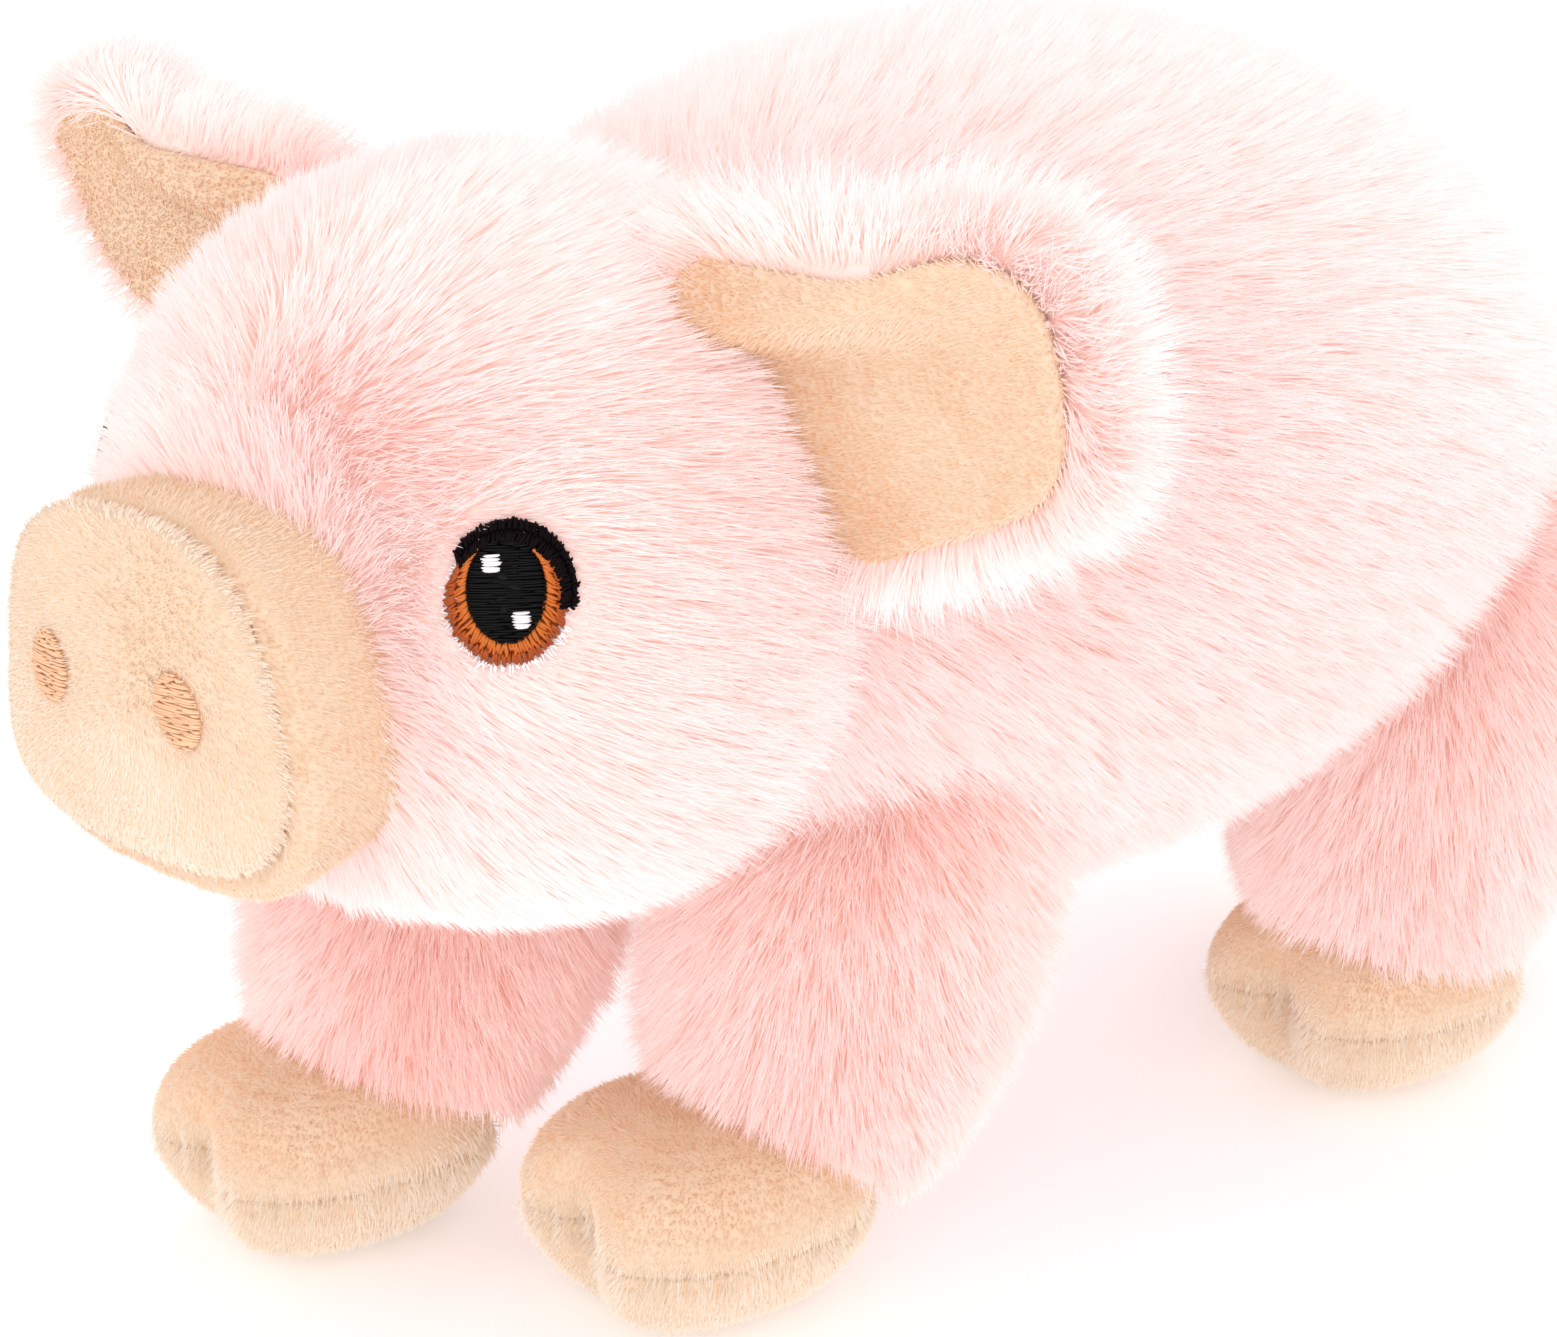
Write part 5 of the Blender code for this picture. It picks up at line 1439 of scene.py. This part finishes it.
LID_STEPS = 24
lid_height = PUPIL_HEIGHT + 2 * PUPIL_RISE
LID_INNER = (IRIS_WIDTH - 1.4 * MM, lid_height - 3.4 * MM, (0, PUPIL_RISE / 2))
LID_OUTER = (
    IRIS_WIDTH + LID_WIDTH - 1 * MM, lid_height + LID_WIDTH - 1.4 * MM, (LID_WIDTH / 5, LID_WIDTH / 5 + PUPIL_RISE / 2)
)
LID_BETWEEN = tuple((np.array(LID_INNER[:2]) + LID_OUTER[:2]) / 2) + (LID_OUTER[2],)


def lid_strip(place):
    outer = [oval(*LID_OUTER, t) for t in np.linspace(-14, 146, LID_STEPS)]
    inner = [oval(*LID_INNER, t) for t in np.linspace(-16, 150, LID_STEPS)]
    rows = [
        [place.at(*((1 - s) * a + s * b), height * MM) for a, b in zip(outer, inner)]
        for s, height in ((0, 0), (0.08, 0.35), (0.5, 0.6), (0.92, 0.35), (1, 0), (1, -0.3), (0, -0.3))
    ]
    strip = np.array(rows).transpose(1, 0, 2)
    return grid_mesh("lid_backing", np.concatenate([strip[:1], strip, strip[-1:]]))


def sew_lid(place, side_name):
    tones = (0.4, 1.0)
    sewn = spokes(place, LID_INNER, LID_BETWEEN, -16, 148, 0.27 * MM, 0.75 * MM, tones, 0.3 * MM)
    sewn += spokes(place, LID_BETWEEN, LID_OUTER, -18, 144, 0.25 * MM, 0.6 * MM, tones, 0.45 * MM)
    nodes = (f"eye_lid_{side_name}",)
    embroider(f"lid_stitches_{side_name}", lid_strip(place), sewn, LID_THREAD, nodes)


# %% [markdown]
# White thread does two things: a few thin spokes below and beside the iris, which peep out from under it, and two
# small blocks on the pupil, which are the glints that make an eye look alive.

# %% White and glints


def sew_white(place, side_name):
    tones = (0.7, 1.0)
    sewn = spokes(
        place, IRIS_OVAL, (IRIS_WIDTH + 2 * WHITE_WIDTH, IRIS_HEIGHT + 2 * WHITE_WIDTH, (0, 0)), -118, -22,
        0.3 * MM, 0.15 * MM, tones, 0.9 * MM, 3,
    )
    sewn += spokes(place, scaled(0.97), scaled(1.07), -240, -118, 0.5 * MM, 0.1 * MM, tones, 0.5 * MM, 3)
    backing = oval_pad(place, scaled(1.02), -0.1 * MM, 0)
    name, nodes = f"white_stitches_{side_name}", (f"eye_white_{side_name}",)
    embroider(name, backing, sewn, WHITE_THREAD, nodes, radius=0.11 * MM)


def sew_glints(place, side_name):
    for which, across_share, up_share in (("upper", -0.12, 0.22), ("lower", 0.12, -0.24)):
        centre = (across_share * IRIS_WIDTH, PUPIL_RISE + up_share * IRIS_HEIGHT)
        block = rows_across(GLINT_WIDTH, GLINT_WIDTH, 3.5, 0.3 * MM, centre, place.at, 1.0 * MM, place.outward)
        outline = [oval(GLINT_WIDTH * 0.9, GLINT_WIDTH * 0.9, centre, t) for t in ROUND[::4]]
        backing = lens(outline, place.at, 0.7 * MM, 1.0 * MM, 3)
        name, nodes = f"glint_{which}_stitches_{side_name}", (f"eye_glint_{which}_{side_name}",)
        embroider(name, backing, block, WHITE_THREAD, nodes)


# %% Both eyes

for side_name, side in (("left", 1), ("right", -1)):
    place = EyePlace(side)
    for sew in (sew_pupil, sew_iris, sew_lid, sew_white, sew_glints):
        sew(place, side_name)

# %% [markdown]
# An ear is a furry back and a minky lining, sewn round the edge and bent forward at the root. The lining is
# folded into a soft roll along its upper edge near the root, which throws a shadow on the hollow below it.

# %% Ear frame

EAR_LENGTH, EAR_WIDTH, EAR_CORNER, EAR_BACK, EAR_LINING, EAR_RIM, EAR_CUP = (
    v * MM for v in (54, 50, 13, 4.2, 1.8, 4, 7)
)
EAR_CORNERS = ((-0.20, 0.50), (1.0, 0.25), (0.80, -0.36), (-0.14, -0.52))
EAR_ROOT_SHARE, EAR_FULL_SHARE, EAR_ROLL = 0.30, 0.40, 5.0 * MM


class EarPlace:
    """The flat frame of an ear: out to the tip, up along the hinge, and its front."""

    def __init__(self, side):
        seat = head_way(0.86 * side, 0.19, 0.47)
        hit, _, _, _ = HEAD_SURFACE.ray_cast(Vector(HEAD_CENTRE), seat)
        self.out = head_way(0.955 * side, -0.04, 0.295)
        up = head_way(-0.33 * side, -0.29, 0.90)
        self.up = (up - self.out * up.dot(self.out)).normalized()
        self.front = self.out.cross(self.up) * side
        self.hinge = hit + self.out * 1.0 * MM

    def at(self, out, up, depth, roll=EAR_ROLL):
        """A spot of the ear. Its root is thinner, its rim cups forward, and a roll runs along its upper edge."""
        reach = min(1, max(0, out / EAR_LENGTH))
        cup = EAR_CUP * reach * ((2 * up / EAR_WIDTH) ** 2 + reach**2) / 2
        fullness = math.sin(math.pi / 2 * min(1, reach / EAR_FULL_SHARE))
        swell = EAR_ROOT_SHARE + (1 - EAR_ROOT_SHARE) * fullness
        off_line = up / EAR_WIDTH - 0.30 + 0.05 * reach
        near_root = roll * (1 - smooth_step(reach, 0.42, 0.72))
        ridge = near_root * math.exp(-((off_line / 0.13) ** 2))
        hollow = 0.35 * near_root * math.exp(-(((off_line + 0.2) / 0.1) ** 2))
        return np.array(
            self.hinge + self.out * out + self.up * (up - 0.35 * ridge)
            + self.front * (cup + depth * swell + ridge - hollow)
        )


# %% Ear outline and pads


def rounded_outline(corners, radius, count):
    """A closed outline with rounded corners, as evenly spaced points."""
    corners = [np.array(c) for c in corners]
    line = []
    for at, corner in enumerate(corners):
        ways = [np.array(corners[at - 1]) - corner, np.array(corners[(at + 1) % len(corners)]) - corner]
        first, last = (corner + w / np.linalg.norm(w) * radius for w in ways)
        for s in np.linspace(0, 1, 12):
            line.append((1 - s) ** 2 * first + 2 * s * (1 - s) * corner + s**2 * last)
    line = np.array(line + [line[0]])
    run = np.concatenate([[0], np.cumsum(np.linalg.norm(np.diff(line, axis=0), axis=1))])
    at = np.linspace(0, run[-1], count, endpoint=False)
    return np.stack([np.interp(at, run, line[:, 0]), np.interp(at, run, line[:, 1])], axis=1)


def ear_grid(place, outline, low, high, bulge):
    """A closed pad from the middle of one side, over the rim, to the middle of the other."""
    centre = outline.mean(axis=0)
    shares = np.concatenate([[0.003], np.linspace(0.05, 0.96, 24), [0.99]])
    rings = []
    for share in shares:
        depth = high + bulge * (1 - share**2)
        if share > 0.95:
            depth = high - (high - low) * 0.2 * (share - 0.95) / 0.04
        rings.append([place.at(*(centre + (p - centre) * share), depth) for p in outline])
    rings.append([place.at(*p, (low + high) / 2) for p in outline])
    for share in shares[::-1]:
        rings.append([place.at(*(centre + (p - centre) * share), low) for p in outline])
    return np.array(rings)


# %% [markdown]
# Fur on the back of an ear stands out past its rim and frames the lining. The far ear is combed back, so that its
# lining reaches the edge. The lining's minky is darker at the root, where it lies in shade. Each ear rides on its
# own body.

# %% Ears

EAR_PILE = dict(LONG_PILE, lift=0.7, density=5.5e6, radius=0.16 * MM, wildness=0.6)
EAR_FUR = (FUR_FIBRE, FUR_GROUND, "pink_fur", EAR_PILE)
for side_name, side in (("left", 1), ("right", -1)):
    place = EarPlace(side)
    outline = rounded_outline([(o * EAR_LENGTH, u * EAR_WIDTH) for o, u in EAR_CORNERS], EAR_CORNER, 96)
    centre = outline.mean(axis=0)
    inset = centre + (outline - centre) * (1 - 1.2 * EAR_RIM / EAR_WIDTH)
    to_front, to_out, to_up, hinge = (np.array(v) for v in (place.front, place.out, place.up, place.hinge))

    def out_along(points):
        return (points - hinge) @ to_out

    def ear_comb(points, normals):
        away = points - place.at(*centre, 0, 0)
        away = directions(away - (away @ to_front)[:, None] * to_front)
        if side < 0:
            return 0.5 * away - 1.6 * to_front - 0.2 * to_out
        return 1.2 * away + 0.2 * to_out + 0.1 * to_front

    def ear_bare(points, normals):
        """No fur under the lining, nor inside the head."""
        flat = np.stack([out_along(points), (points - hinge) @ to_up], axis=1) - centre
        rim = inset - centre
        rim_angle = np.arctan2(rim[:, 1], rim[:, 0])
        order = np.argsort(rim_angle)
        reach = np.interp(
            np.arctan2(flat[:, 1], flat[:, 0]), rim_angle[order], np.linalg.norm(rim, axis=1)[order],
            period=2 * np.pi,
        )
        covered = (normals @ to_front > 0.3) & (np.linalg.norm(flat, axis=1) < reach * 0.95)
        return np.maximum(covered.astype(float), smooth_step(depth_in(HEAD, points), 2 * MM, 5 * MM))

    # The back's tone is deeper near the root: painted shade where the ear meets the head.
    back = skin_mesh(
        f"ear_back_skin_{side_name}", ear_grid(place, outline, -EAR_BACK, -0.2 * MM, 0.0), ear_comb,
        lambda points, normals: 8 * MM + 3.5 * MM * smooth_step(-(normals @ to_front), 0.0, 0.7),
        lambda points, normals: 0.98 - 0.1 * (1 - smooth_step(out_along(points), 2 * MM, 14 * MM)), ear_bare,
    )
    dress(
        f"ear_back_skin_{side_name}", back, EAR_FUR, f"ear_fur_{side_name}", 71 + side, f"{side_name}_ear",
        (f"ear_back_{side_name}",),
    )
    lining = skin_mesh(
        f"ear_lining_skin_{side_name}", ear_grid(place, inset, 0.3 * MM, EAR_LINING + 0.4 * MM, 0.4 * MM),
        lambda points, normals: same_way(points, *(0.3 * to_up - to_out)),
        lambda points, normals: np.full(len(points), 1.4 * MM),
        lambda points, normals: 0.55 - 0.35 * (1 - smooth_step(out_along(points), 4 * MM, 20 * MM)),
        lambda points, normals: (normals @ to_front < -0.2) | (depth_in(HEAD, points) > 5 * MM),
        lambda points, normals: out_along(points),
    )
    dress(
        f"ear_lining_skin_{side_name}", lining, MINKY, f"ear_lining_pile_{side_name}", 81 + side,
        f"{side_name}_ear", (f"ear_lining_{side_name}",),
    )

# %% [markdown]
# The tail is a narrow tube of minky, sewn to curl once round itself. Its rings follow a helix that gets smaller,
# each turned from the last by as much as the path bends, so that the tube doesn't twist, and it tapers to a
# rounded tip.

# %% Tail

TAIL_STEPS, TAIL_SIDES, TAIL_TURNS = 120, 24, 1.25
TAIL_THICKNESS, TAIL_LOOP, TAIL_REACH, TAIL_HEIGHT = 7.5 * MM, 8.5 * MM, 21 * MM, 105 * MM
TAIL_TAPER, TAIL_TIP = 0.45, 0.04
tail_start = STAND + Vector((0, BODY_LENGTH / 2 - 6 * MM, TAIL_HEIGHT))
tail_path = []
for share in np.arange(TAIL_STEPS + 1) / TAIL_STEPS:
    turn = 2 * math.pi * TAIL_TURNS * share
    loop = TAIL_LOOP * (1 - 0.35 * share)
    tail_path.append(
        tail_start + Vector((math.sin(turn) * loop, TAIL_REACH * share, (1 - math.cos(turn)) * loop))
    )
tail_rings = []
before = tail_path[1] - tail_path[0]
turned = Vector((0, 0, 1)).rotation_difference(before)
for at, spot in enumerate(tail_path):
    ahead = tail_path[min(at + 1, TAIL_STEPS)] - tail_path[max(at - 1, 0)]
    turned = before.rotation_difference(ahead) @ turned
    before = ahead
    share = at / TAIL_STEPS
    rounded = math.sqrt(max(1e-4, 1 - max(0, (share - 1 + TAIL_TIP) / TAIL_TIP) ** 2))
    radius = TAIL_THICKNESS / 2 * (1 - TAIL_TAPER * share) * rounded
    tail_rings.append([
        spot + turned @ Vector((math.cos(a) * radius, math.sin(a) * radius, 0))
        for a in 2 * np.pi * np.arange(TAIL_SIDES) / TAIL_SIDES
    ])
tail_skin = skin_mesh(
    "tail_skin", np.array(tail_rings), lambda points, normals: same_way(points, 0, 1, 0),
    lambda points, normals: np.full(len(points), 1.1 * MM), lambda points, normals: np.full(len(points), 0.5),
    lambda points, normals: depth_in(BODY, points) > 4 * MM, lambda points, normals: points[:, 1] * 3,
)
dress("tail_minky", tail_skin, MINKY, "tail_pile", 91, "pig", ("tail",))

# %% [markdown]
# Inside the covers lies polyester filling. It is never seen, but it is part of the toy, so the solids that stand
# for it get the look of fibre wadding: off-white, rough and cloudy.

# %% Filling

# Fibre wadding: matt, and cloudy in patches of 7 mm, so it reads as soft fluff and not as plaster.
WADDING = ground_material("polyester_fibre_wadding", "#F6F5F1", "#E4E2DA", 7 * MM)
for name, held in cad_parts.items():
    if "filling" in name:
        held.data.materials.clear()
        held.data.materials.append(WADDING)
        print("wadding:", name)
